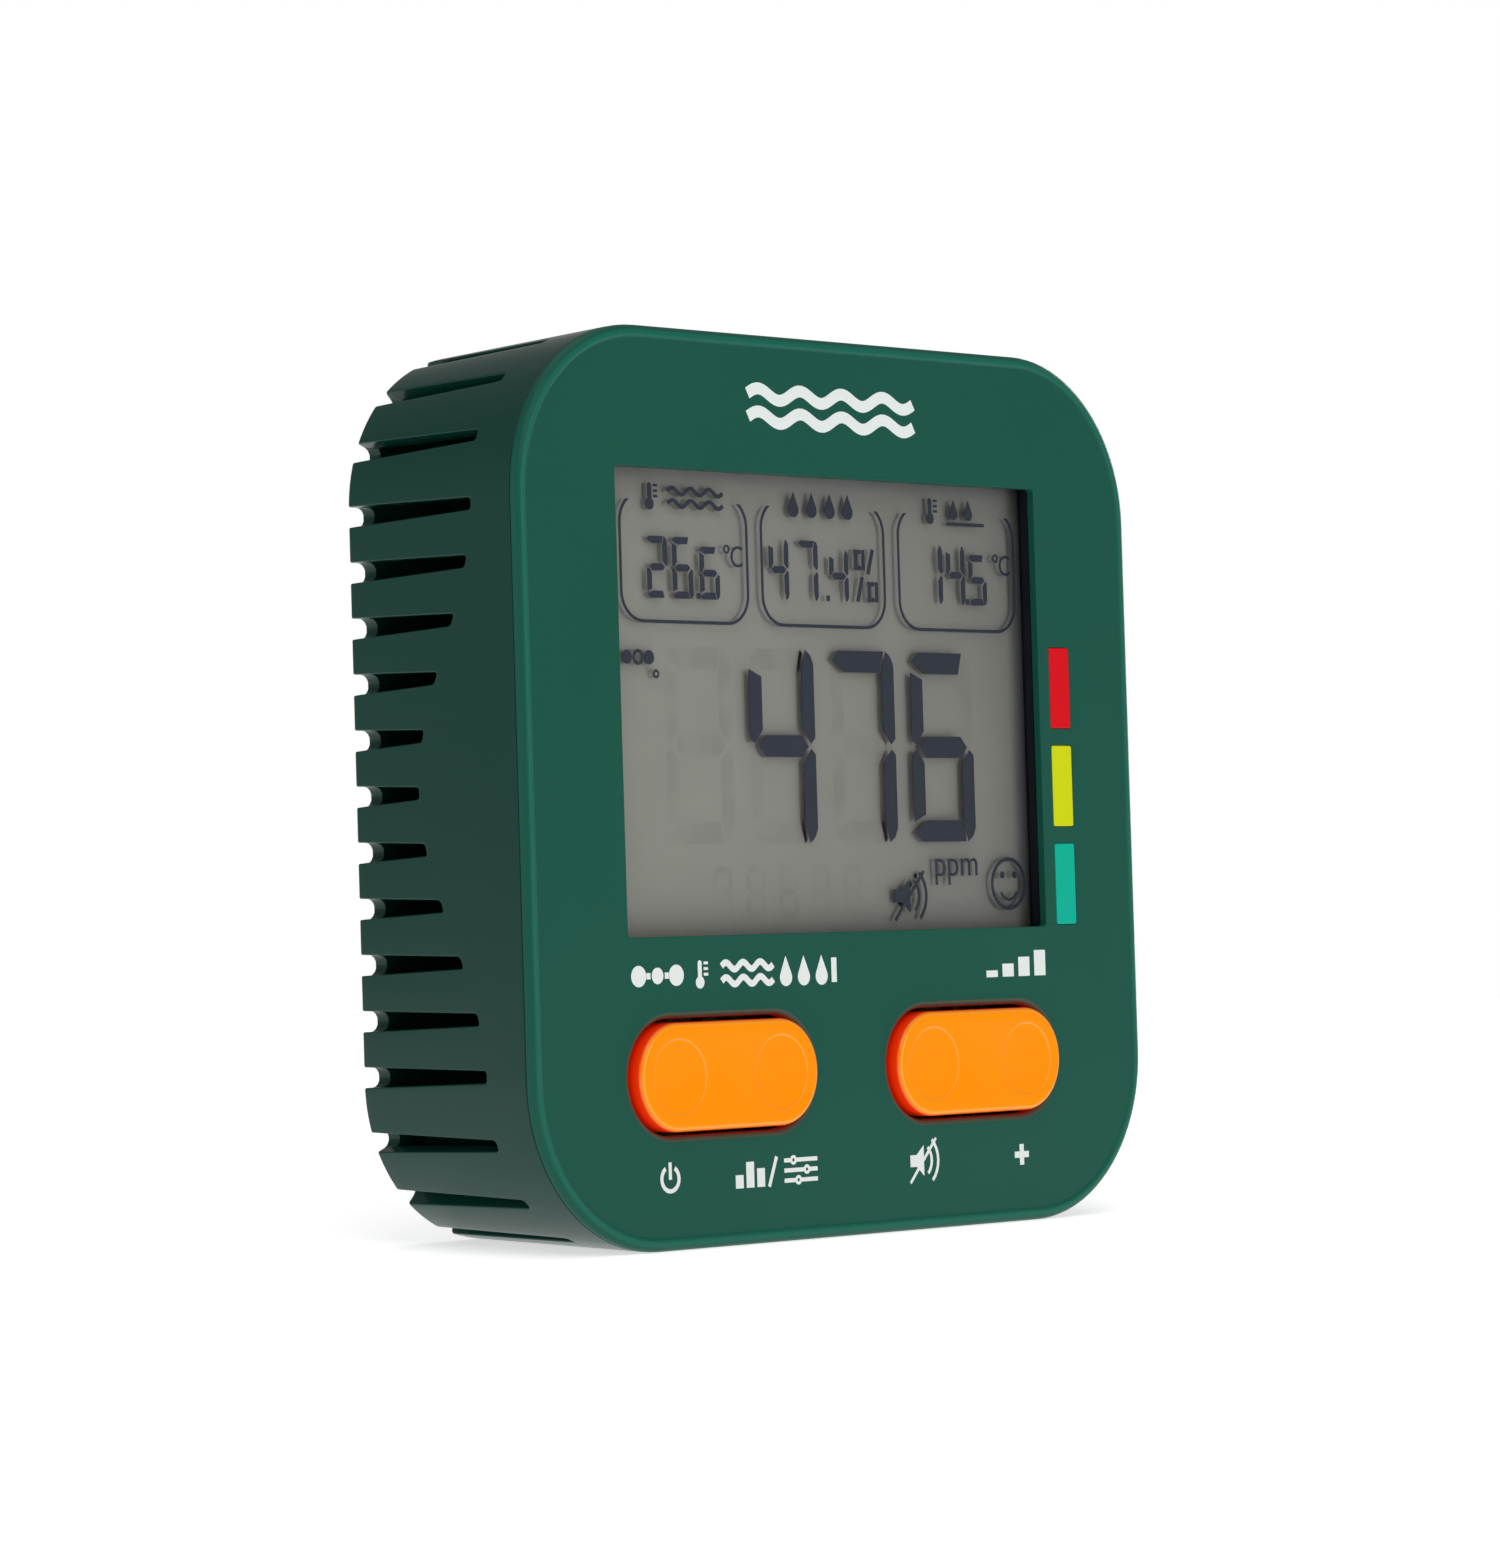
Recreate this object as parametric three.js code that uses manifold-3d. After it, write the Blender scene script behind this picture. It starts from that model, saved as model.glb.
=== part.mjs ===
// Desk-top carbon dioxide monitor, modelled in millimetres with +Z up and the face towards -Y.
// Everything is laid out upright in "case" coordinates: x to the right, y from the face plane
// towards the back, z up from the front bottom edge. The whole assembly is then leaned back by the
// draft angle of the rear case, so that its drafted underside lies flat on the table at z = 0.

import * as THREE from 'three';
import { mergeVertices } from 'three/addons/utils/BufferGeometryUtils.js';
import Module from 'manifold-3d';

const wasm = await Module();
wasm.setup();

// Case
const caseWidth = 117.5;
const caseHeight = 117;
const cornerRadius = 22.1;
const draftAngle = THREE.MathUtils.degToRad(2.45);
const frontEdgeRoll = 1.1;
const rearEdgeChamfer = 0.4;
const frontRim = 1.3; // depth of the front case's outer rim
const faceWall = 2;
const sideWall = 2;
const rearWall = 2.2;
const tongueWall = 1.2; // rib of the front case that plugs into the rear case
const tongueEnd = 5;
const gap = 0.3; // clearance between neighbouring pieces

// Vent slots, on both sides
const slotsPerHalf = 8; // above and below the middle one
const slotPathInset = 4.9; // the slots are spaced evenly along this inset of the outline
const lastSlotAngle = THREE.MathUtils.degToRad(68.9);
const slotWidthRear = 2.65;
const slotWidthFront = 1.5;
const slotEndCorner = 0.4;
const slotNick = 2.5; // how far the slots run into the rear wall
const slotStartCorner = 8.8; // depth of the slots' front ends at the corners
const slotStartRise = 11.25; // how much deeper the middle slot starts

// Display
const windowLeftMargin = 17.45;
const windowRightMargin = 19.15;
const windowTopMargin = 18;
const windowBottomMargin = 39.6;
const windowLip = 1.3; // wall left in front of the display holder
const displayDepth = 3.1; // face plane to display glass
const glassThickness = 2.2;
const glassOverlapX = 1.4;
const glassOverlapZ = 2.4;
const holderWall = 1.2;
const holderFlange = 1.2;
const holderEnd = 8.6;
const backlightThickness = 2.8;
const backlightInset = 0.4; // in from the sides of the display panel
const contactStripLength = 60;
const contactStripWidth = 1.8;
const contactStripInset = 0.3;

// Indicator bars to the right of the window
const barWidth = 4.1;
const barHeight = 11;
const barGap = 2.35;
const barOffset = 2.3; // window edge to bar
const barStemWidth = 2.7;
const barStemHeight = 8;
const barClearance = 0.2;
const barShoulder = 0.1; // slack between a stem and the wall beside it
const barRise = 0.2; // bottom of the lowest bar above the bottom of the window
const ledSize = 2;
const ledThickness = 0.7;

// Rocker keys
const keyHeight = 13.8;
const keyProud = 1.3;
const keyCentreHeight = 21.85;
const keyMargins = [[17.5, 8.35], [18.7, 7.15]]; // from the side and from the middle, left and right key
const keyEdgeRoll = 0.6;
const keySkirtEnd = 3.2;
const keyWall = 1.4;
const keyCrown = 1.7; // thickness of the key's top
const keyPadInset = 7.05; // end of the key to the middle of its finger pad
const keySideGap = 0.5;
const keyRim = 0.75; // rounded rim of the key's opening
const keyEndEase = 0.05; // keeps a short straight between the two ends of a key
const pivotDepth = 4.6;
const pivotRadius = 0.75;
const pivotLugWidth = 4.4;
const pivotLugInset = 1.1; // ends of the key's pivot lug, in from its edges
const bearingRib = 1.6;
const bearingOffset = 0.25; // key's opening to the near side of a bearing rib
const bearingHalf = 3; // half the length of a bearing rib
const bearingLip = 0.8; // rib left behind the pivot pin
const lugCover = 0.7; // lug left behind the pivot pin
const footRadius = 1.5;
const footClearance = 0.04; // plunger to foot with the key fully rocked
const rockAngle = THREE.MathUtils.degToRad(2.5);
const switchSize = 6;
const switchHeight = 3.4;
const plungerHeight = 0.9;
const plungerRadius = 1.7;

// Main board
const boardFront = 9.6;
const boardThickness = 1.6;
const boardSideMargin = 7.75;
const boardTopMargin = 6;
const boardBottomMargin = 6;
const boardNotchX = 10.2;
const boardNotchZ = 11.6;
const boardPostRadius = 2.6;
const upperPostX = 30;
const upperPostMargin = 9.7; // below the top of the case
const lowerPostMargin = 11.25; // in from the sides of the case
const lowerPostDrop = 6.6; // below the display window
const boardScrewRadius = 1.1;
const boardScrewHead = 2.2;
const boardScrewTip = 4;
const boardScrewRim = 0.9;
const boardScrewHeadHeight = 1.4;
const chipSize = 12;
const chipThickness = 1.4;

// Case screws
const screwSpacing = 10.4; // from the middle of a corner arc, along x and z
const screwRadius = 1.45;
const screwHeadRadius = 2.4;
const screwHeadHeight = 2;
const screwSeat = 24; // depth at which the screw heads bear
const screwTip = 3.6;
const frontBossRadius = 3.2;
const frontBossEnd = 8;
const rearPostRadius = 3.7;

// Battery compartment: four AA cells side by side
const cellRadius = 7.1;
const cellLength = 50.5;
const cellNub = 1;
const cellNubRadius = 2.7;
const cellShoulder = 0.8;
const cellChamfer = 0.5;
const cellSpacing = 0.8;
const cellCount = 4;
const springHeight = 4.6;
const springRadius = 4.4;
const springTopRadius = 2.8;
const springWire = 0.35;
const springTurns = 3;
const contactPlate = 0.4;
const contactWidth = 11;
const tabWidth = 3; // solder tabs of the end contacts
const tabReach = 2.5;
const trayWall = 1.4;
const trayBottom = 4.3;
const boardToTray = 1.1;
const leadRadius = 0.6;
const leadStraight = 1.8; // straight ends of the leads
const leadDip = 0.3;
const inletLeadSag = 2.5;
const batteryLeadRise = 1.2;

// Sliding battery door
const doorPlate = 2.2;
const doorTongue = 1.1;
const doorTongueReach = 1.9;
const doorFrame = 2.4; // from the tray's opening to the edge of the door
const railWall = 1.3;
const doorFootGap = 0.4;
const gripLength = 16;
const gripWidth = 0.9;
const gripDepth = 0.5;
const gripCount = 4;

// Sensors, sounder and power inlet
const sensorWidth = 33;
const sensorHeight = 22;
const sensorDepth = 10.5;
const headerHeight = 2.2;
const headerLength = 22;
const headerWidth = 2.5;
const headerMargin = 2.5;
const filterRadius = 5;
const filterThickness = 0.6;
const filterSeat = 1.2; // depth of the hole that holds the filter
const filterInset = 0.3; // filter below the sensor's surface
const humiditySize = 5;
const humidityHeight = 1.6;
const humidityMargin = 0.5; // in from the edge of the board
const sounderRadius = 6;
const sounderHeight = 6.5;
const sounderPortRadius = 1;
const sounderPortDepth = 2;
const inletWidth = 7.8;
const inletHeight = 3;
const inletLength = 5.6;
const inletWall = 0.4;
const inletFloor = 0.8;
const inletBladeMargin = 1.5; // from the sides of the inlet to its blade
const inletBladeThickness = 0.6;
const inletBladeRise = 0.3;
const inletCentreHeight = 44;
const inletBoardWidth = 9;
const inletBoardHeight = 11;
const inletBoardThickness = 1.2;
const inletPostRadius = 1.4;

// Places that follow from the sizes above
const past = 1; // how far a cutting shape runs past what it cuts
const bite = 0.2; // how far joined shapes run into each other
const halfWidth = caseWidth / 2;
const midHeight = caseHeight / 2;
const rearStart = frontRim + gap;
const draft = Math.tan(draftAngle);
const boardBack = boardFront + boardThickness;
const mountedFront = boardBack + gap; // face of what sits on the back of the board
const trayFloor = boardBack + boardToTray + trayWall;
const cellY = trayFloor + gap + cellRadius;
const trayRear = cellY + cellRadius + gap;
const tongueFront = trayRear + gap; // the door's tongues slide behind the rear wall
const tongueBack = tongueFront + doorTongue;
const caseDepth = tongueBack + gap + doorPlate;
const insetAt = (y) => Math.max(0, y - rearStart) * draft;
const rearFaceInset = insetAt(caseDepth);
const innerRear = caseDepth - rearWall;
const windowLeft = windowLeftMargin - halfWidth;
const windowRight = halfWidth - windowRightMargin;
const windowBottom = windowBottomMargin;
const windowTop = caseHeight - windowTopMargin;
const windowWidth = windowRight - windowLeft;
const windowHeight = windowTop - windowBottom;
const windowX = (windowLeft + windowRight) / 2;
const windowZ = (windowBottom + windowTop) / 2;
const glassWidth = windowWidth + 2 * glassOverlapX;
const glassHeight = windowHeight + 2 * glassOverlapZ;
const holderWidth = glassWidth + 2 * (gap + holderWall);
const holderHeight = glassHeight + 2 * (gap + holderWall);
const barX = windowRight + barOffset + barWidth / 2;
const barStemX = barX + (barWidth - barStemWidth) / 2 - barShoulder;
const barPitch = barHeight + barGap;
const screwX = halfWidth - cornerRadius + screwSpacing;
const screwZ = [cornerRadius - screwSpacing, caseHeight - cornerRadius + screwSpacing];
const cellPitch = 2 * cellRadius + cellSpacing;
const trayInnerHalf = ((cellCount - 1) * cellPitch) / 2 + cellRadius + gap;
const trayOuterHalf = trayInnerHalf + trayWall;
const contactStack = 2 * (2 * gap + contactPlate);
const trayTop = trayBottom + contactStack + cellLength + gap + springHeight + gap;
const doorHalf = trayInnerHalf + doorFrame;
const doorTop = trayTop + trayWall + doorFrame;
const doorBottom = rearFaceInset + doorFootGap;
const railHalf = doorHalf + doorTongueReach + gap;
const upperBayMid = (doorTop + caseHeight - sideWall) / 2;
const pivotLugReach = keyHeight / 2 - pivotLugInset;
const bearingReach = keyHeight / 2 + keySideGap + keyRim + bearingOffset;
const keys = ['left', 'right'].map((name, index) => {
  const [outer, inner] = keyMargins[index];
  const side = index === 0 ? -1 : 1;
  return { name, length: halfWidth - outer - inner, x: side * (halfWidth + inner - outer) / 2 };
});
const boardPosts = [
  [-upperPostX, caseHeight - upperPostMargin],
  [upperPostX, caseHeight - upperPostMargin],
  [lowerPostMargin - halfWidth, windowBottom - lowerPostDrop],
  [halfWidth - lowerPostMargin, windowBottom - lowerPostDrop],
];

// Colours and finishes
const finish = (color, roughness, metalness = 0) =>
  () => new THREE.MeshStandardMaterial({ color, roughness, metalness });
const finishes = {
  satinGreen: finish(0x24564a, 0.45),
  glossGreen: finish(0x1f4a3f, 0.25),
  orange: finish(0xff8e00, 0.4),
  redLens: finish(0xd7141f, 0.3),
  yellowLens: finish(0xd4dc28, 0.3),
  greenLens: finish(0x00af9b, 0.3),
  displayGlass: finish(0x86867e, 0.3),
  black: finish(0x16181c, 0.6),
  diffuser: finish(0xe6e8e4, 0.5),
  board: finish(0x0f5c33, 0.5),
  chip: finish(0x1b1b1d, 0.5),
  rubber: finish(0x55585c, 0.8),
  brass: finish(0xc9a24b, 0.35, 1),
  steel: finish(0xb9bcc0, 0.3, 1),
  white: finish(0xeeeeea, 0.8),
  cell: finish(0x2e3b8c, 0.35),
  leadRed: finish(0xb3181c, 0.5),
  leadBlack: finish(0x18181a, 0.5),
  ledWhite: finish(0xf2efe0, 0.3),
};

// Solids: joining and cutting
function toSolid(geometry) {
  const bare = geometry.clone();
  bare.deleteAttribute('normal');
  bare.deleteAttribute('uv');
  const merged = mergeVertices(bare, 1e-4);
  const corners = merged.index.array;
  const kept = [];
  for (let i = 0; i < corners.length; i += 3) {
    const [a, b, c] = [corners[i], corners[i + 1], corners[i + 2]];
    if (a !== b && b !== c && c !== a) kept.push(a, b, c);
  }
  return new wasm.Manifold(new wasm.Mesh({
    numProp: 3,
    vertProperties: Float32Array.from(merged.attributes.position.array),
    triVerts: Uint32Array.from(kept),
  }));
}

function toGeometry(solid) {
  const mesh = solid.getMesh();
  const geometry = new THREE.BufferGeometry();
  geometry.setAttribute('position', new THREE.BufferAttribute(mesh.vertProperties, 3));
  geometry.setIndex(new THREE.BufferAttribute(mesh.triVerts, 1));
  geometry.computeVertexNormals();
  return geometry;
}

// Starts from the first geometry, adds and then cuts away the others.
function build(base, { add = [], cut = [] }) {
  let solid = toSolid(base);
  for (const geometry of add) solid = solid.add(toSolid(geometry));
  for (const geometry of cut) solid = solid.subtract(toSolid(geometry));
  return toGeometry(solid);
}

// Plain shapes
function block([x0, x1], [y0, y1], [z0, z1]) {
  const geometry = new THREE.BoxGeometry(x1 - x0, y1 - y0, z1 - z0);
  return geometry.translate((x0 + x1) / 2, (y0 + y1) / 2, (z0 + z1) / 2);
}

const around = (middle, size) => [middle - size / 2, middle + size / 2];

function rod(radius, [y0, y1], x, z, segments = 16) {
  return new THREE.CylinderGeometry(radius, radius, y1 - y0, segments).translate(x, (y0 + y1) / 2, z);
}

// A turned piece on an axis along y; the profile runs from the front end to the back end.
function turned(profile, x, z, segments = 14) {
  const points = profile.map(([radius, y]) => new THREE.Vector2(radius, y));
  return new THREE.LatheGeometry(points, segments).translate(x, 0, z);
}

function roundedRectangle(width, height, radius) {
  const [x, z] = [width / 2 - radius, height / 2 - radius];
  const shape = new THREE.Shape();
  shape.absarc(x, z, radius, 0, Math.PI / 2);
  shape.absarc(-x, z, radius, Math.PI / 2, Math.PI);
  shape.absarc(-x, -z, radius, Math.PI, Math.PI * 1.5);
  shape.absarc(x, -z, radius, Math.PI * 1.5, Math.PI * 2);
  return shape;
}

// A rounded rectangle carried along y through stations of [depth, inset], front to back. Insetting
// moves every outline point towards the middle of its own corner arc.
function lofted({ width, height, radius, x = 0, z = 0, segments = 5 }, stations) {
  const spans = stations.length - 1;
  const geometry = new THREE.ExtrudeGeometry(roundedRectangle(width, height, radius), {
    depth: spans,
    steps: spans,
    bevelEnabled: false,
    curveSegments: segments,
  });
  const position = geometry.attributes.position;
  for (let i = 0; i < position.count; i++) {
    const [px, pz] = [position.getX(i), position.getY(i)];
    const [y, inset] = stations[spans - Math.round(position.getZ(i))];
    const middleX = Math.sign(px) * (width / 2 - radius);
    const middleZ = Math.sign(pz) * (height / 2 - radius);
    const scale = (radius - inset) / radius;
    position.setXYZ(i, x + middleX + (px - middleX) * scale, y, z + middleZ + (pz - middleZ) * scale);
  }
  return geometry;
}

const caseOutline = { width: caseWidth, height: caseHeight, radius: cornerRadius, z: midHeight };

function plate(points, [y0, y1]) {
  const shape = new THREE.Shape(points.map(([x, z]) => new THREE.Vector2(x, z)));
  const geometry = new THREE.ExtrudeGeometry(shape, { depth: y1 - y0, bevelEnabled: false });
  return geometry.rotateX(Math.PI / 2).translate(0, y1, 0);
}

// A shape in the x-y plane carried upwards from z0 to z1
function column(points, [z0, z1]) {
  const shape = new THREE.Shape(points.map(([x, y]) => new THREE.Vector2(x, y)));
  return new THREE.ExtrudeGeometry(shape, { depth: z1 - z0, bevelEnabled: false }).translate(0, 0, z0);
}

function wire(points, radius, steps, sides = 6) {
  const path = new THREE.CatmullRomCurve3(points.map((point) => new THREE.Vector3(...point)));
  const section = new THREE.Shape();
  section.absarc(0, 0, radius, 0, Math.PI * 2);
  return new THREE.ExtrudeGeometry(section, {
    steps,
    bevelEnabled: false,
    extrudePath: path,
    curveSegments: sides / 2,
  });
}

// Case halves
function frontCase() {
  const rollSteps = [0, 30, 60, 90].map(THREE.MathUtils.degToRad);
  const outer = rollSteps.map((a) => [frontEdgeRoll * (1 - Math.sin(a)), frontEdgeRoll * (1 - Math.cos(a))]);
  outer.reverse();
  const plugInset = sideWall + gap + insetAt(tongueEnd);
  const cavityInset = plugInset + tongueWall;
  const bosses = screwZ.flatMap((z) =>
    [-screwX, screwX].map((x) => rod(frontBossRadius, [frontRim, frontBossEnd], x, z)));
  const posts = boardPosts.map(([x, z]) =>
    rod(boardPostRadius, [frontRim, boardFront - gap], x, z, 12));
  const pilots = [
    ...screwZ.flatMap((z) => [-screwX, screwX].map((x) =>
      rod(screwRadius + gap, [screwTip - gap, frontBossEnd + past], x, z, 12))),
    ...boardPosts.map(([x, z]) =>
      rod(boardScrewRadius + gap, [boardScrewTip - gap, boardFront + past], x, z, 10)),
  ];
  const rim = lofted(caseOutline, outer.concat([[frontRim, 0]]));
  const plug = lofted(caseOutline, [[frontRim - bite, plugInset], [tongueEnd, plugInset]]);
  const cavity = lofted(caseOutline, [[faceWall, cavityInset], [tongueEnd + past, cavityInset]]);
  const shell = build(rim, { add: [plug], cut: [cavity] });
  return build(shell, {
    add: [...bosses, ...posts, ...keys.flatMap(bearingRibs)],
    cut: [
      ...pilots,
      block([windowLeft, windowRight], [-past, faceWall + past], [windowBottom, windowTop]),
      block(around(windowX, holderWidth + 2 * gap), [windowLip, faceWall + past],
        around(windowZ, holderHeight + 2 * gap)),
      ...barHeights().map((z) => block(around(barX, barWidth + 2 * barClearance),
        [-past, faceWall + past], around(z, barHeight + 2 * barClearance))),
      ...keys.map(keyOpening),
    ],
  });
}

function barHeights() {
  const lowest = windowBottom + barHeight / 2 + barRise;
  return [2, 1, 0].map((index) => lowest + index * barPitch);
}

function keyOutline(key, grow) {
  const height = keyHeight + 2 * grow;
  return {
    width: key.length + 2 * grow,
    height,
    radius: height / 2 - keyEndEase,
    x: key.x,
    z: keyCentreHeight,
    segments: 5,
  };
}

function keyOpening(key) {
  const opening = keyOutline(key, keySideGap + keyRim);
  const soft = keyRim * 0.3;
  return lofted(opening, [[-past, 0], [0, 0], [soft, keyRim - soft], [keyRim, keyRim],
    [faceWall + past, keyRim]]);
}

// Two notched ribs above and below a key's opening, which hold the ends of its pivot pin
function bearingRibs(key) {
  const notch = pivotRadius + gap;
  const top = pivotDepth + notch + bearingLip;
  const outline = [[-bearingHalf, faceWall - bite], [bearingHalf, faceWall - bite],
    [bearingHalf, top], [notch, top],
    [notch, pivotDepth - notch], [-notch, pivotDepth - notch], [-notch, top], [-bearingHalf, top]];
  const points = outline.map(([x, y]) => [key.x + x, y]);
  return [-1, 1].map((side) => {
    const near = keyCentreHeight + side * bearingReach;
    const far = near + side * bearingRib;
    return column(points, [Math.min(near, far), Math.max(near, far)]);
  });
}

// Where slot number k meets the outline: the middle of its bend, its outward direction and its start
function slotPlace(k, side) {
  const flatHalf = midHeight - cornerRadius;
  const pathRadius = cornerRadius - slotPathInset;
  const pitch = (flatHalf + pathRadius * lastSlotAngle) / slotsPerHalf;
  const along = Math.abs(k) * pitch;
  const angle = Math.max(0, along - flatHalf) / pathRadius;
  const up = Math.sign(k);
  const wave = along < flatHalf ? (1 + Math.cos((Math.PI * along) / flatHalf)) / 2 : 0;
  return {
    x: side * (halfWidth - cornerRadius),
    z: midHeight + up * Math.min(along, flatHalf),
    outward: new THREE.Vector3(side * Math.cos(angle), 0, up * Math.sin(angle)),
    start: slotStartCorner + slotStartRise * wave,
  };
}

function slotCutter(k, side) {
  const { x, z, outward, start } = slotPlace(k, side);
  const rear = caseDepth + past;
  const half = (y) => THREE.MathUtils.mapLinear(y, start, caseDepth, slotWidthFront, slotWidthRear) / 2;
  const shape = new THREE.Shape([
    new THREE.Vector2(-half(rear), rear),
    new THREE.Vector2(-half(start + slotEndCorner), start + slotEndCorner),
    new THREE.Vector2(-half(start) + slotEndCorner, start),
    new THREE.Vector2(half(start) - slotEndCorner, start),
    new THREE.Vector2(half(start + slotEndCorner), start + slotEndCorner),
    new THREE.Vector2(half(rear), rear),
  ]);
  const reach = cornerRadius - rearFaceInset - slotNick;
  const depth = cornerRadius + past - reach;
  const cutter = new THREE.ExtrudeGeometry(shape, { depth, bevelEnabled: false });
  const depthways = new THREE.Vector3(0, 1, 0);
  const across = depthways.clone().cross(outward);
  const turn = new THREE.Matrix4().makeBasis(across, depthways, outward);
  turn.setPosition(new THREE.Vector3(x, 0, z).addScaledVector(outward, reach));
  return cutter.applyMatrix4(turn);
}

function rearCase() {
  const chamferStart = caseDepth - rearEdgeChamfer;
  const outer = lofted(caseOutline, [[rearStart, 0], [chamferStart, insetAt(chamferStart)],
    [caseDepth, insetAt(caseDepth) + rearEdgeChamfer]]);
  const cavity = lofted(caseOutline, [[rearStart - past, sideWall], [rearStart, sideWall],
    [innerRear, sideWall + insetAt(innerRear)]]);
  const tray = [
    block([-trayOuterHalf, trayOuterHalf], [trayFloor - trayWall, trayRear],
      [sideWall, trayTop + trayWall]),
    block([-railHalf - railWall, railHalf + railWall], [trayRear - railWall, innerRear + bite],
      [sideWall, doorTop + gap + railWall]),
  ];
  const corners = screwZ.flatMap((z) => [-screwX, screwX].map((x) => [x, z]));
  const posts = corners.map(([x, z]) =>
    rod(rearPostRadius, [frontBossEnd + gap, innerRear + bite], x, z));
  const inletPosts = [-1, 1].map((side) => rod(inletPostRadius, [inletBoardRear + gap, innerRear + bite],
    inletX, inletCentreHeight + side * (inletBoardHeight / 2 - inletPostRadius), 10));
  const shell = build(outer, { cut: [cavity] });
  const slots = [-1, 1].flatMap((side) =>
    Array.from({ length: 2 * slotsPerHalf + 1 }, (_, i) => slotCutter(i - slotsPerHalf, side)));
  return build(shell, {
    add: [...tray, ...posts, ...inletPosts],
    cut: [
      block([-trayInnerHalf, trayInnerHalf], [trayFloor, caseDepth + past], [trayBottom, trayTop]),
      block([-doorHalf - gap, doorHalf + gap], [tongueBack, caseDepth + past], [-past, doorTop + gap]),
      block([-railHalf, railHalf], [trayRear, tongueBack + gap], [-past, doorTop + gap]),
      ...[-1, 1].map((side) => block(around(side * (cellCount - 1) * cellPitch / 2, 3 + 2 * gap),
        around(cellY, contactPlate + 2 * gap), [trayTop - past, trayTop + trayWall + past])),
      ...corners.flatMap(([x, z]) => [
        rod(screwHeadRadius + gap, [screwSeat, caseDepth + past], x, z),
        rod(screwRadius + gap, [frontBossEnd, screwSeat + past], x, z, 12),
      ]),
      block(around(inletX, inletWidth + 2 * gap), [innerRear - past, caseDepth + past],
        around(inletCentreHeight, inletHeight + 2 * gap)),
      ...slots,
    ],
  });
}

function batteryDoor() {
  const [tongue, lip] = [doorHalf + doorTongueReach, doorHalf];
  const profile = [[-tongue, tongueFront], [tongue, tongueFront], [tongue, tongueBack - gap],
    [lip, tongueBack - gap], [lip, caseDepth], [-lip, caseDepth], [-lip, tongueBack - gap],
    [-tongue, tongueBack - gap]];
  const grips = Array.from({ length: gripCount }, (_, i) =>
    block([-gripLength / 2, gripLength / 2], [caseDepth - gripDepth, caseDepth + past],
      around(doorTop - 8 - 2 * gripWidth * i, gripWidth)));
  return build(column(profile, [doorBottom, doorTop]), { cut: grips });
}

// Display stack
function displayHolder() {
  const sides = (width, height, depths) =>
    block(around(windowX, width), depths, around(windowZ, height));
  return build(sides(holderWidth, holderHeight, [windowLip + gap, holderEnd]), {
    cut: [
      sides(windowWidth + gap, windowHeight + gap, [-past, displayDepth]),
      sides(glassWidth + 2 * gap, glassHeight + 2 * gap, [windowLip + gap + holderFlange, holderEnd + past]),
    ],
  });
}

function displayPanel() {
  return block(around(windowX, glassWidth), [displayDepth, displayDepth + glassThickness],
    around(windowZ, glassHeight));
}

const behindGlass = displayDepth + glassThickness + gap;

function backlightPanel() {
  return block(around(windowX, glassWidth - 2 * backlightInset),
    [behindGlass, behindGlass + backlightThickness],
    around(windowZ, windowHeight - 2));
}

function contactStrip(side) {
  const z = windowZ + side * (glassHeight / 2 - contactStripWidth / 2 - contactStripInset);
  const length = Math.min(contactStripLength, windowWidth - 4);
  return block(around(windowX, length), [behindGlass, boardFront - gap], around(z, contactStripWidth));
}

// Indicators
function lightPipe(z) {
  const shoulder = windowLip - barShoulder;
  const stem = block(around(barStemX, barStemWidth), [shoulder - bite, boardFront - 2 * gap - ledThickness],
    around(z, barStemHeight));
  return build(block(around(barX, barWidth), [0, shoulder], around(z, barHeight)), { add: [stem] });
}

function indicatorLed(z) {
  return block(around(barStemX, ledSize), [boardFront - gap - ledThickness, boardFront - gap],
    around(z, ledSize));
}

// Keys
const switchTop = boardFront - gap - switchHeight - plungerHeight;

function keyCap(key) {
  const pad = key.length / 2 - keyPadInset;
  const footEnd = switchTop - pad * Math.sin(rockAngle) - footClearance;
  const roll = [[0, keyEdgeRoll], [keyEdgeRoll * 0.3, keyEdgeRoll * 0.3], [keyEdgeRoll, 0]];
  const body = lofted(keyOutline(key, 0),
    [...roll.map(([y, inset]) => [y - keyProud, inset]), [keySkirtEnd, 0]]);
  const crown = keyCrown - keyProud;
  const hollow = lofted(keyOutline(key, -keyWall), [[crown, 0], [keySkirtEnd + past, 0]]);
  const lug = block(around(key.x, pivotLugWidth), [crown - bite, pivotDepth + pivotRadius + gap + lugCover],
    around(keyCentreHeight, 2 * pivotLugReach));
  const feet = [-1, 1].map((side) =>
    rod(footRadius, [crown - bite, footEnd], key.x + side * pad, keyCentreHeight, 12));
  const eye = pivotShape(pivotRadius + gap, pivotLugReach + past, key);
  return build(build(body, { cut: [hollow] }), { add: [lug, ...feet], cut: [eye] });
}

function pivotShape(radius, reach, key) {
  const pin = new THREE.CylinderGeometry(radius, radius, 2 * reach, 14);
  return pin.rotateX(Math.PI / 2).translate(key.x, pivotDepth, keyCentreHeight);
}

function keySwitch(x) {
  const body = block(around(x, switchSize), [boardFront - gap - switchHeight, boardFront - gap],
    around(keyCentreHeight, switchSize));
  const plunger = rod(plungerRadius, [switchTop, boardFront - 2 * gap], x, keyCentreHeight);
  return build(body, { add: [plunger] });
}

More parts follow.
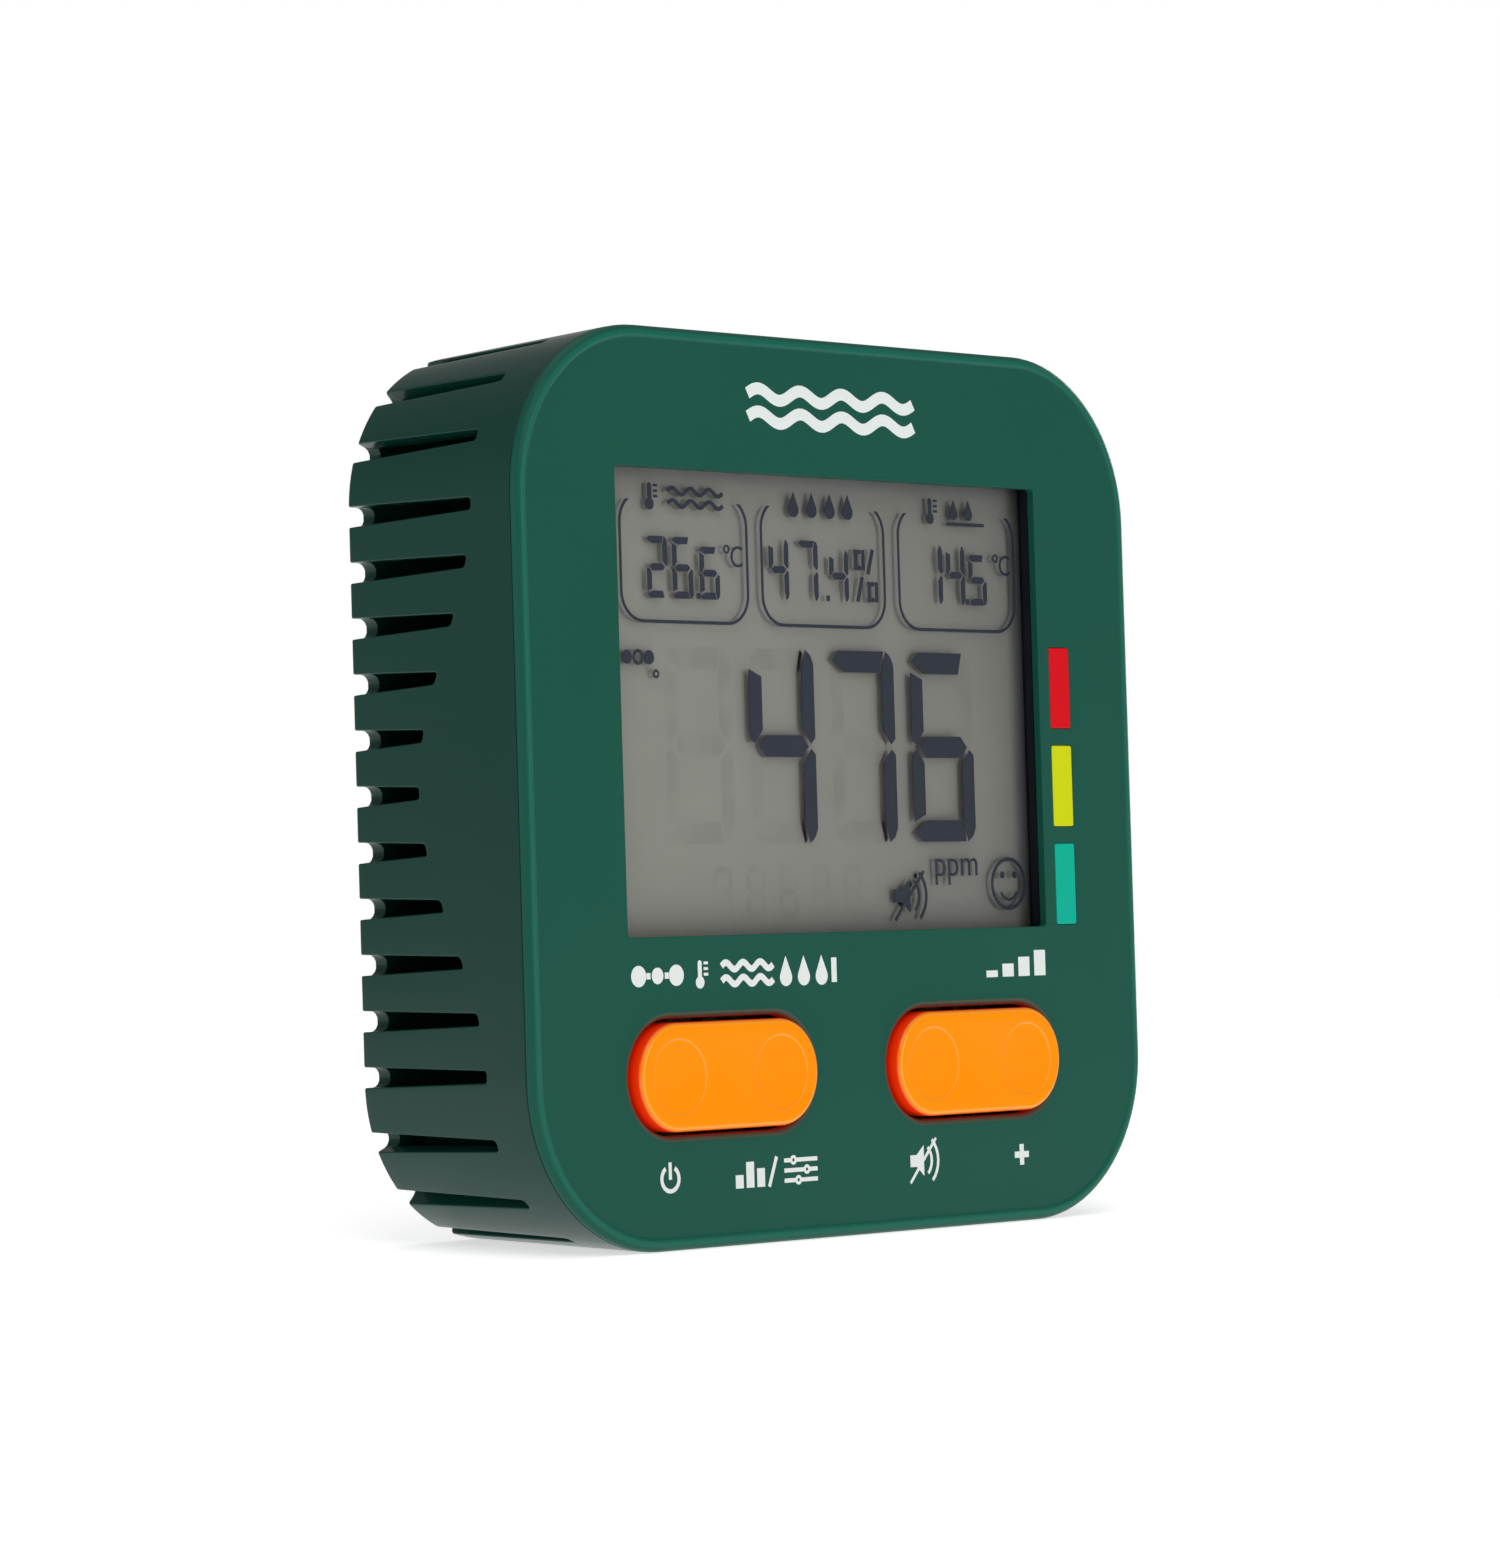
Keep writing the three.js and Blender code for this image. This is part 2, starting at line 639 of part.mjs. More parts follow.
// Board and what it carries
function mainBoard() {
  const right = halfWidth - boardSideMargin;
  const [low, high] = [boardBottomMargin, caseHeight - boardTopMargin];
  const [inX, inLow, inHigh] = [right - boardNotchX, low + boardNotchZ, high - boardNotchZ];
  const outline = [[-inX, low], [inX, low], [inX, inLow], [right, inLow], [right, inHigh], [inX, inHigh],
    [inX, high], [-inX, high], [-inX, inHigh], [-right, inHigh], [-right, inLow], [-inX, inLow]];
  return build(plate(outline, [boardFront, boardBack]), {
    cut: boardPosts.map(([x, z]) =>
      rod(boardScrewRadius + gap, [boardFront - past, boardBack + past], x, z, 12)),
  });
}

function boardScrew([x, z]) {
  const head = mountedFront;
  return turned([[0, boardScrewTip], [boardScrewRadius, boardScrewTip + boardScrewRadius],
    [boardScrewRadius, head], [boardScrewHead, head], [boardScrewHead, head + boardScrewRim],
    [boardScrewHead * 0.7, head + boardScrewHeadHeight], [0, head + boardScrewHeadHeight]], x, z, 12);
}

function caseScrew(x, z) {
  const head = screwSeat + gap;
  return turned([[0, screwTip], [screwRadius, screwTip + screwRadius], [screwRadius, head],
    [screwHeadRadius, head], [screwHeadRadius, head + screwHeadHeight * 0.6],
    [screwHeadRadius * 0.6, head + screwHeadHeight], [0, head + screwHeadHeight]], x, z);
}

const sensorX = -screwX + rearPostRadius + gap + sensorWidth / 2;
const sounderX = screwX - rearPostRadius - gap - sounderRadius;
const sensorFront = mountedFront + headerHeight + gap;

function carbonDioxideSensor() {
  return build(block(around(sensorX, sensorWidth), [sensorFront, sensorFront + sensorDepth],
    around(upperBayMid, sensorHeight)), {
    cut: [rod(filterRadius + gap, [sensorFront + sensorDepth - filterSeat, sensorFront + sensorDepth + past],
      sensorX + sensorWidth / 4, upperBayMid, 20)],
  });
}

function sensorFilter() {
  const back = sensorFront + sensorDepth - filterInset;
  return rod(filterRadius, [back - filterThickness, back], sensorX + sensorWidth / 4, upperBayMid, 20);
}

function sensorHeader() {
  return block(around(sensorX, headerLength), [mountedFront, mountedFront + headerHeight],
    around(upperBayMid - sensorHeight / 2 + headerMargin, headerWidth));
}

function sounder() {
  const back = mountedFront + sounderHeight;
  return build(rod(sounderRadius, [mountedFront, back], sounderX, upperBayMid, 20), {
    cut: [rod(sounderPortRadius, [back - sounderPortDepth, back + past], sounderX, upperBayMid, 10)],
  });
}

function humiditySensor() {
  const x = -halfWidth + boardSideMargin + humiditySize / 2 + humidityMargin;
  return block(around(x, humiditySize), [mountedFront, mountedFront + humidityHeight],
    around(midHeight, humiditySize));
}

// Power inlet on its own small board
const inletX = (railHalf + railWall + halfWidth - sideWall - rearFaceInset) / 2;
const inletBoardRear = innerRear - gap - inletLength - gap;

function powerInlet() {
  const back = innerRear - gap;
  const shell = block(around(inletX, inletWidth), [back - inletLength, back],
    around(inletCentreHeight, inletHeight));
  const mouth = block(around(inletX, inletWidth - 2 * inletWall),
    [back - inletLength + inletFloor, back + past],
    around(inletCentreHeight, inletHeight - 2 * inletWall));
  const blade = block(around(inletX, inletWidth - 2 * inletBladeMargin),
    [back - inletLength + inletFloor - bite, back - inletFloor],
    around(inletCentreHeight + inletBladeRise, inletBladeThickness));
  return build(build(shell, { cut: [mouth] }), { add: [blade] });
}

function inletBoard() {
  return block(around(inletX, inletBoardWidth), [inletBoardRear - inletBoardThickness, inletBoardRear],
    around(inletCentreHeight, inletBoardHeight));
}

function inletLead(offset) {
  const [x, z] = [inletX + offset, inletCentreHeight];
  const from = inletBoardRear - inletBoardThickness - gap;
  return wire([[x, from, z], [x, from - leadStraight, z - leadDip],
    [x, (from + mountedFront) / 2, z - inletLeadSag],
    [x, mountedFront + leadStraight, z - leadDip], [x, mountedFront, z]], leadRadius, 10);
}

// Battery compartment
const cellPlaces = Array.from({ length: cellCount }, (_, i) => ({
  x: (i - (cellCount - 1) / 2) * cellPitch,
  nubUp: i % 2 === 1,
}));
const plateLow = trayBottom + gap;
const plateHigh = trayTop - gap - contactPlate;
const cellLow = ({ nubUp }) => plateLow + contactPlate + gap + (nubUp ? springHeight + gap : 0);

function batteryCell(place) {
  const body = cellLength - cellNub;
  const profile = [[0, 0], [cellRadius - cellShoulder, 0], [cellRadius, cellChamfer],
    [cellRadius, body - cellChamfer], [cellRadius - cellShoulder, body],
    [cellNubRadius, body], [cellNubRadius, cellLength], [0, cellLength]];
  const cell = turned(profile, 0, 0, 20);
  if (place.nubUp) cell.rotateX(Math.PI / 2);
  else cell.rotateX(-Math.PI / 2).translate(0, 0, cellLength);
  return cell.translate(place.x, cellY, cellLow(place));
}

// A coil that narrows towards the cell it presses on
function batterySpring(place) {
  const steps = springTurns * 8;
  const points = Array.from({ length: steps + 1 }, (_, i) => {
    const part = i / steps;
    const radius = THREE.MathUtils.lerp(springRadius, springTopRadius, part) - springWire;
    const rise = springWire + part * (springHeight - 2 * springWire);
    const turn = part * springTurns * Math.PI * 2;
    const z = place.nubUp ? plateLow + contactPlate + gap + rise : plateHigh - gap - rise;
    return [place.x + radius * Math.cos(turn), cellY + radius * Math.sin(turn), z];
  });
  return wire(points, springWire, springTurns * 10);
}

// A contact plate under one or two neighbouring cells
function contact(first, last, z) {
  const [x0, x1] = [cellPlaces[first].x - contactWidth / 2, cellPlaces[last].x + contactWidth / 2];
  return block([x0, x1], around(cellY, contactWidth), [z, z + contactPlate]);
}

function terminal(index) {
  const x = cellPlaces[index].x;
  const tab = block(around(x, tabWidth), around(cellY, contactPlate),
    [plateHigh, trayTop + trayWall + tabReach]);
  return build(contact(index, index, plateHigh), { add: [tab] });
}

function batteryLead(index) {
  const x = cellPlaces[index].x;
  const from = trayTop + trayWall + tabReach + gap + leadRadius;
  return wire([[x, cellY, from], [x, cellY - leadStraight, from + leadDip],
    [x, (cellY + mountedFront) / 2, from + batteryLeadRise],
    [x, mountedFront + leadStraight, from + leadDip], [x, mountedFront, from]], leadRadius, 10);
}

// The assembly
const monitor = new THREE.Group();

function addPiece(name, geometry, material) {
  const piece = new THREE.Mesh(geometry, finishes[material]());
  piece.name = name;
  monitor.add(piece);
}

addPiece('front_case', frontCase(), 'satinGreen');
addPiece('rear_case', rearCase(), 'glossGreen');
addPiece('battery_door', batteryDoor(), 'glossGreen');
addPiece('display_holder', displayHolder(), 'black');
addPiece('display_panel', displayPanel(), 'displayGlass');
addPiece('backlight_panel', backlightPanel(), 'diffuser');
addPiece('contact_strip_top', contactStrip(1), 'rubber');
addPiece('contact_strip_bottom', contactStrip(-1), 'rubber');
addPiece('main_board', mainBoard(), 'board');
addPiece('controller_chip', block(around(8, chipSize), [mountedFront, mountedFront + chipThickness],
  around(upperBayMid, chipSize)), 'chip');

['red', 'yellow', 'green'].forEach((colour, index) => {
  const z = barHeights()[index];
  addPiece(`light_pipe_${colour}`, lightPipe(z), `${colour}Lens`);
  addPiece(`led_${colour}`, indicatorLed(z), 'ledWhite');
});

for (const key of keys) {
  addPiece(`key_${key.name}`, keyCap(key), 'orange');
  addPiece(`key_pin_${key.name}`, pivotShape(pivotRadius, bearingReach + bearingRib, key), 'steel');
  for (const side of [-1, 1]) {
    const name = `key_switch_${key.name}_${side < 0 ? 'a' : 'b'}`;
    addPiece(name, keySwitch(key.x + side * (key.length / 2 - keyPadInset)), 'chip');
  }
}

addPiece('carbon_dioxide_sensor', carbonDioxideSensor(), 'brass');
addPiece('sensor_filter', sensorFilter(), 'white');
addPiece('sensor_header', sensorHeader(), 'chip');
addPiece('humidity_sensor', humiditySensor(), 'chip');
addPiece('sounder', sounder(), 'chip');
addPiece('power_inlet', powerInlet(), 'steel');
addPiece('power_inlet_board', inletBoard(), 'board');
addPiece('power_inlet_lead_red', inletLead(-3), 'leadRed');
addPiece('power_inlet_lead_black', inletLead(3), 'leadBlack');

cellPlaces.forEach((place, index) => {
  addPiece(`battery_cell_${index + 1}`, batteryCell(place), 'cell');
  addPiece(`battery_spring_${index + 1}`, batterySpring(place), 'steel');
});
addPiece('battery_link_bottom_left', contact(0, 1, plateLow), 'steel');
addPiece('battery_link_bottom_right', contact(2, 3, plateLow), 'steel');
addPiece('battery_link_top', contact(1, 2, plateHigh), 'steel');
addPiece('battery_terminal_minus', terminal(0), 'steel');
addPiece('battery_terminal_plus', terminal(cellCount - 1), 'steel');
addPiece('battery_lead_black', batteryLead(0), 'leadBlack');
addPiece('battery_lead_red', batteryLead(cellCount - 1), 'leadRed');

screwZ.forEach((z, row) => {
  [-screwX, screwX].forEach((x, columnIndex) => {
    addPiece(`case_screw_${row * 2 + columnIndex + 1}`, caseScrew(x, z), 'steel');
  });
});
boardPosts.forEach((place, index) => addPiece(`board_screw_${index + 1}`, boardScrew(place), 'steel'));

// Lean back until the underside is level, then stand the middle of the footprint on the origin.
monitor.rotation.x = -draftAngle;
monitor.position.z = rearStart * Math.sin(draftAngle);
monitor.updateMatrixWorld(true);
const extent = new THREE.Box3().setFromObject(monitor, true);
monitor.position.y = -(extent.min.y + extent.max.y) / 2;
monitor.updateMatrixWorld(true);

export default monitor;
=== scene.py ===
import bmesh
import bpy
from math import asin, atan, ceil, cos, pi, radians, sin, sqrt
from mathutils import Matrix, Vector


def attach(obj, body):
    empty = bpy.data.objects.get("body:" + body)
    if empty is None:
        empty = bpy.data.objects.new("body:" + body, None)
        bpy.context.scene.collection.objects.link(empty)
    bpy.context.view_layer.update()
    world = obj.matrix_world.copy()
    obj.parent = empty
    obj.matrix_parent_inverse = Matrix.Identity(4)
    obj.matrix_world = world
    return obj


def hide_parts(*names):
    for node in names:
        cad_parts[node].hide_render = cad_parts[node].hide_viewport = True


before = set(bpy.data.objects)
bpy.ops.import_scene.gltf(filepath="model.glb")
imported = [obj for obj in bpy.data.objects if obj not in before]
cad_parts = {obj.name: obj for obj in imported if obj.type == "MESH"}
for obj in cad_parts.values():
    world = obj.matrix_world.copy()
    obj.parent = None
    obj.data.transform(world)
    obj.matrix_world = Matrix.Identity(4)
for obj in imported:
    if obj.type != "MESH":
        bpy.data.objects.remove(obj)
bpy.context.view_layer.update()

# Lengths are in millimetres in the upright case: x to the right, y from the face to the back and z up.
# One matrix leans a finished piece back and brings it to metres in the row frame.
case = {
    "width": 117.5, "height": 117.0, "radius": 22.1, "depth": 32.4,
    "lean": 2.45, "back": 18.33216, "lift": 0.0684,
    "parting": 1.3, "rearStart": 1.45, "cornerSteps": 22,
}
leanAngle = radians(case["lean"])
draft = sin(leanAngle) / cos(leanAngle)
halfWidth, midHeight = case["width"] / 2, case["height"] / 2
caseToRow = (Matrix.Scale(0.001, 4) @ Matrix.Translation((0, -case["back"], case["lift"]))
             @ Matrix.Rotation(-leanAngle, 4, "X"))
caseShape = {"width": case["width"], "height": case["height"], "radius": case["radius"],
             "x": 0, "z": midHeight, "steps": case["cornerSteps"]}


def insetAt(y):
    return max(0, y - case["rearStart"]) * draft


# ---- shader graphs: a socket that takes part in sums, and the graph it belongs to

class Value:
    def __init__(self, graph, socket):
        self.graph, self.socket = graph, socket

    def combine(self, operation, first, second):
        return self.graph.node("ShaderNodeMath", {"operation": operation}, {0: first, 1: second})

    def __add__(self, other):
        return self.combine("ADD", self, other)

    def __sub__(self, other):
        return self.combine("SUBTRACT", self, other)

    def __rsub__(self, other):
        return self.combine("SUBTRACT", other, self)

    def __mul__(self, other):
        return self.combine("MULTIPLY", self, other)

    __radd__, __rmul__ = __add__, __mul__

    def __truediv__(self, other):
        return self.combine("DIVIDE", self, other)

    def __gt__(self, other):
        return self.combine("GREATER_THAN", self, other)

    def __lt__(self, other):
        return self.combine("LESS_THAN", self, other)


class Finish:
    def __init__(self, name):
        self.material = bpy.data.materials.new(name)
        self.material.use_nodes = True
        self.tree = self.material.node_tree
        self.shader = self.tree.nodes["Principled BSDF"]
        self.spot = self.node("ShaderNodeTexCoord", out="Object")

    def node(self, kind, settings=None, sockets=None, out=0):
        made = self.tree.nodes.new(kind)
        for key, value in (settings or {}).items():
            if key == "stops":
                ramp = made.color_ramp.elements
                while len(ramp) < len(value):
                    ramp.new(0.5)
                for element, (place, colour) in zip(ramp, value):
                    element.position, element.color = place, colour
            else:
                setattr(made, key, value)
        for key, value in (sockets or {}).items():
            self.feed(made.inputs[key], value)
        return Value(self, made.outputs[out])

    def feed(self, socket, value):
        if isinstance(value, Value):
            self.tree.links.new(value.socket, socket)
        else:
            socket.default_value = value

    def moved(self, scale=(1, 1, 1), turn=(0, 0, 0), shift=(0, 0, 0)):
        return self.node("ShaderNodeMapping", None,
                         {"Vector": self.spot, "Scale": scale, "Rotation": turn, "Location": shift})

    def noise(self, size, detail=2.0, roughness=0.5, where=None):  # size in millimetres
        return self.node("ShaderNodeTexNoise", None, {
            "Vector": where or self.spot, "Scale": 1000 / size, "Detail": detail, "Roughness": roughness})

    def cells(self, size, where=None, feature="F1", out="Distance"):
        return self.node("ShaderNodeTexVoronoi", {"feature": feature},
                         {"Vector": where or self.spot, "Scale": 1000 / size}, out)

    def ramp(self, value, *stops):
        return self.node("ShaderNodeValToRGB", {"stops": [(at, grey(level)) for at, level in stops]},
                         {"Fac": value})

    def blend(self, factor, first, second, mode="MIX"):
        return self.node("ShaderNodeMix", {"data_type": "RGBA", "blend_type": mode},
                         {0: factor, 6: first, 7: second}, 2)

    def axis(self, name):
        return self.node("ShaderNodeSeparateXYZ", None, {0: self.spot}, name)

    def depth(self):  # millimetres behind the face plane
        return self.axis("Y") * 1000 + case["back"] - self.axis("Z") * (1000 * draft)

    def bump(self, height, distance, strength=1.0, under=None):  # distance in millimetres
        sockets = {"Height": height, "Distance": distance / 1000, "Strength": strength}
        if under:
            sockets["Normal"] = under
        return self.node("ShaderNodeBump", None, sockets)

    def done(self, **sockets):
        for key, value in sockets.items():
            self.feed(self.shader.inputs[socketNames.get(key, key)], value)
        return self.material


socketNames = {
    "colour": "Base Color", "roughness": "Roughness", "metal": "Metallic", "normal": "Normal",
    "specular": "Specular IOR Level", "coat": "Coat Weight", "coatRoughness": "Coat Roughness",
    "alpha": "Alpha", "glow": "Emission Color", "glowStrength": "Emission Strength",
}


def grey(level):
    return (level, level, level, 1)


def screenColour(red, green, blue):  # 0 to 255 as a screen shows it, to linear light
    def linear(channel):
        part = channel / 255
        return part / 12.92 if part <= 0.04045 else ((part + 0.055) / 1.055) ** 2.4
    return (linear(red), linear(green), linear(blue), 1)


def shade(colour, factor):
    return tuple(channel * factor for channel in colour[:3]) + (1,)


# ---- moulded plastics

def mouldedPlastic(name, colour, roughness, grain=0.35, grainDepth=0.006, cloud=0.06,
                   specular=0.5, rim=None):
    finish = Finish(name)
    flow = finish.noise(38, 3, 0.55)  # faint flow marks of the moulding
    texture = finish.noise(grain, 3, 0.6)
    dust = finish.ramp(finish.noise(1.1, 4, 0.7), (0.62, 0), (0.78, 1))
    flowToneAndPaintedRim = finish.blend(flow, shade(colour, 1 - cloud), shade(colour, 1 + cloud))
    if rim:  # painted highlight: the raised rim of the face is painted a lighter green
        flowToneAndPaintedRim = finish.blend(finish.ramp(finish.depth(), (0.05, 1), (0.21, 0)), flowToneAndPaintedRim, rim)
    dustAndPaintedRim = finish.blend(dust * 0.035, flowToneAndPaintedRim, shade(colour, 1.8))
    rough = (flow - 0.5) * (roughness * 0.22) + (texture - 0.5) * 0.06 + roughness + dust * 0.05
    relief = finish.bump(texture, grainDepth, 0.6)
    relief = finish.bump(flow, 0.03, 0.25, relief)
    return finish.done(colour=dustAndPaintedRim, roughness=rough, normal=relief, specular=specular)


plastics = {
    "faceGreen": (20, 84, 70),
    "rearGreen": (16, 59, 51),
    "holderBlack": (18, 22, 32),
    "redLens": (218, 8, 24),
    "yellowLens": (212, 220, 10),
    "tealLens": (0, 180, 154),
    "legendWhite": (232, 238, 236),
}
# the rim colour is a painted highlight on the face's raised rim
faceGreen = mouldedPlastic("satin green plastic", screenColour(*plastics["faceGreen"]), 0.34,
                           specular=0.13, rim=screenColour(23, 102, 84))
rearGreen = mouldedPlastic("glossy green plastic", screenColour(*plastics["rearGreen"]), 0.2,
                           grain=0.6, grainDepth=0.003, specular=0.2)
holderBlack = mouldedPlastic("black plastic", screenColour(*plastics["holderBlack"]), 0.5, specular=0.2)
redLens = mouldedPlastic("red lens plastic", screenColour(*plastics["redLens"]), 0.3,
                         specular=0.1, cloud=0.03)
yellowLens = mouldedPlastic("yellow lens plastic", screenColour(*plastics["yellowLens"]), 0.3,
                            specular=0.1, cloud=0.03)
tealLens = mouldedPlastic("teal lens plastic", screenColour(*plastics["tealLens"]), 0.3,
                          specular=0.1, cloud=0.03)
legendWhite = mouldedPlastic("white print", screenColour(*plastics["legendWhite"]), 0.55, grain=0.2,
                             specular=0.2, cloud=0.02)


keyProud = 1.3


def openingFinish():  # green with painted light: deeper in the opening it is painted brownish red and made to glow, for the orange glow of the key beside it
    finish = Finish("green plastic with painted key glow")
    depth = finish.depth()
    grain = finish.noise(0.35, 3, 0.6)
    paintedKeyGlow = finish.ramp(depth, (0.3, 0), (0.85, 1))
    green = finish.blend(grain, screenColour(19, 82, 68), screenColour(21, 86, 72))
    return finish.done(colour=finish.blend(paintedKeyGlow, green, screenColour(112, 30, 20)),
                       roughness=(grain - 0.5) * 0.06 + 0.34, normal=finish.bump(grain, 0.006, 0.6),
                       specular=0.13, glow=screenColour(110, 20, 10),
                       glowStrength=0.34)


def keyFinish():  # orange with painted shade: painted deep red down the walls, where light only comes through the plastic, and made to glow there
    finish = Finish("satin orange plastic")
    depth = finish.depth()
    flow = finish.noise(30, 3, 0.55)
    grain = finish.noise(0.35, 3, 0.6)
    below = depth + keyProud
    # painted shade: the walls are painted red, and deep red further down
    paintedWallShade = finish.ramp(below, (0.2, 0), (0.62, 1))
    lower = finish.ramp(depth * 0.6 + 0.2, (0.0, 0), (1.0, 1))
    gloss = finish.ramp(below, (0.01, 0.03), (0.03, 0.9), (0.13, 0.9), (0.17, 0.03), (0.23, 0.03), (0.26, 0.95))
    bright = finish.blend(flow, screenColour(255, 141, 0), screenColour(255, 147, 0))
    crest = finish.ramp(below, (0.01, 0), (0.04, 0.3), (0.12, 0.3), (0.17, 0))  # painted highlight: lighter orange where the edge catches the light
    paintedLitAndShadedOrange = finish.blend(paintedWallShade, finish.blend(crest, bright, screenColour(255, 184, 60)),
                        screenColour(255, 56, 0))
    # painted glow: the walls glow orange to red, for light coming through the plastic
    glow = finish.blend(paintedWallShade, screenColour(174, 96, 0), screenColour(255, 34, 0))
    relief = finish.bump(grain, 0.004, 0.5)
    return finish.done(colour=finish.blend(lower, paintedLitAndShadedOrange, screenColour(176, 14, 6)),
                       roughness=(grain - 0.5) * 0.05 + (flow - 0.5) * 0.06 + 0.3, normal=relief,
                       specular=0.05, coat=gloss, coatRoughness=0.1, glow=glow, glowStrength=0.22)


keyOrange, keyGlowGreen = keyFinish(), openingFinish()


def displayFinish(name, colour, paintedShadeRight, roughness):
    finish = Finish(name)
    across = finish.axis("X") * 11 + 0.5
    speckle = finish.noise(0.12, 2, 0.6)
    cloudy = finish.noise(14, 3, 0.5)
    # painted shade: darker towards the right
    toned = finish.blend(across, colour, paintedShadeRight)
    toned = finish.blend((cloudy - 0.5) * 0.25 + speckle * 0.2, toned, shade(colour, 1.2))
    # painted shadows below the window's top edge and beside its right edge
    paintedTopShadow = finish.ramp((finish.axis("Z") - 0.0972) * 600, (0.1, 0), (0.9, 0.3))
    paintedRightShadow = finish.ramp((finish.axis("X") - 0.0376) * 450, (0.0, 0), (1.0, 0.5))
    toned = finish.blend(paintedTopShadow, toned, screenColour(104, 110, 126))
    toned = finish.blend(paintedRightShadow, toned, screenColour(50, 55, 68))
    return finish.done(colour=toned, roughness=(speckle - 0.5) * 0.12 + roughness,
                       normal=finish.bump(speckle, 0.004, 0.5), specular=0.25)


reflectorGrey = displayFinish("display reflector", screenColour(148, 148, 140),
                              screenColour(126, 128, 122), 0.55)
segmentInk = displayFinish("display segment", screenColour(40, 47, 62), screenColour(36, 42, 54), 0.4)


def glassFinish():
    finish = Finish("display glass")
    smear = finish.noise(9, 3, 0.6)
    return finish.done(colour=finish.blend(smear, grey(0.05), grey(0.12)), alpha=smear * 0.02 + 0.03,
                       roughness=smear * 0.12 + 0.12, specular=0.3)


def faintFinish(name, dark, light, *cover):  # cover: how opaque it is in its thin and dense patches
    finish = Finish(name)
    patch = finish.noise(6, 3, 0.6)
    return finish.done(colour=finish.blend(patch, light, dark), roughness=0.5, specular=0.0,
                       alpha=finish.ramp(patch, (0.42, cover[0]), (0.7, cover[1])))


displayGlass = glassFinish()
unlitSegment = faintFinish("unlit segment", screenColour(70, 76, 96), screenColour(88, 92, 108), 0.0, 0.04)
segmentShade = faintFinish("segment shadow", screenColour(58, 68, 86), screenColour(66, 76, 92), 0.06, 0.09)


# ---- metals, board and the other inner finishes

def metalFinish(name, colour, roughness, brush=(1, 1, 1), grain=0.5):
    finish = Finish(name)
    lines = finish.noise(grain, 4, 0.65, finish.moved(brush))
    stain = finish.noise(5, 3, 0.6)
    toned = finish.blend(stain, shade(colour, 0.82), shade(colour, 1.08))
    return finish.done(colour=toned, metal=1.0, roughness=lines * 0.18 + (stain - 0.5) * 0.12 + roughness,
                       normal=finish.bump(lines, 0.004, 0.5))


def boardFinish():
    finish = Finish("board laminate")
    paths = finish.cells(2.6, finish.moved((1, 0.2, 1)), "DISTANCE_TO_EDGE")
    trace = finish.ramp(paths, (0.05, 1), (0.09, 0))
    pads = finish.ramp(finish.cells(4.3), (0.12, 1), (0.16, 0))
    weave = finish.noise(0.5, 2, 0.5)
    green = finish.blend(weave, screenColour(10, 78, 44), screenColour(16, 96, 56))
    traced = finish.blend(trace * 0.7, green, screenColour(44, 132, 78))
    return finish.done(colour=finish.blend(pads, traced, screenColour(196, 170, 96)),
                       metal=pads * 0.8, roughness=weave * 0.15 + 0.32,
                       normal=finish.bump(trace + weave * 0.3, 0.03, 0.6))


def wrapFinish():
    finish = Finish("cell wrap")
    height = finish.axis("Z")
    band = (height > 0.044) * (height < 0.054)
    lines = finish.node("ShaderNodeTexWave", {"wave_type": "BANDS", "bands_direction": "Z"},
                        {"Vector": finish.spot, "Scale": 150.0, "Distortion": 0.0})
    crinkle = finish.noise(2.2, 3, 0.6)
    blue = finish.blend(crinkle, screenColour(32, 44, 110), screenColour(44, 58, 134))
    striped = finish.blend(finish.ramp(lines, (0.86, 0), (0.9, 1)) * 0.25, blue, grey(0.6))
    return finish.done(colour=finish.blend(band, striped, screenColour(204, 206, 210)),
                       roughness=crinkle * 0.14 + 0.24, normal=finish.bump(crinkle, 0.05, 0.4),
                       coat=0.5, coatRoughness=0.12)


def sensorFinish():
    finish = Finish("sensor metal")
    # painted shade: the holes are painted dark brown and given a bump, not cut
    holes = finish.ramp(finish.cells(2.4), (0.12, 0), (0.2, 1))
    brushed = finish.noise(0.4, 4, 0.6, finish.moved((0.08, 1, 1)))
    gold = finish.blend(brushed, screenColour(188, 150, 70), screenColour(214, 178, 98))
    return finish.done(colour=finish.blend(holes, screenColour(60, 46, 22), gold), metal=1.0,
                       roughness=brushed * 0.2 + 0.2, normal=finish.bump(holes, 0.2, 0.7))


def clothFinish():
    finish = Finish("filter fabric")
    weft = finish.node("ShaderNodeTexWave", {"bands_direction": "X"},
                       {"Vector": finish.spot, "Scale": 700.0, "Distortion": 1.0})
    warp = finish.node("ShaderNodeTexWave", {"bands_direction": "Z"},
                       {"Vector": finish.spot, "Scale": 700.0, "Distortion": 1.0})
    weave = weft * warp
    return finish.done(colour=finish.blend(weave, grey(0.55), grey(0.84)), roughness=0.9,
                       normal=finish.bump(weave, 0.08, 0.8))


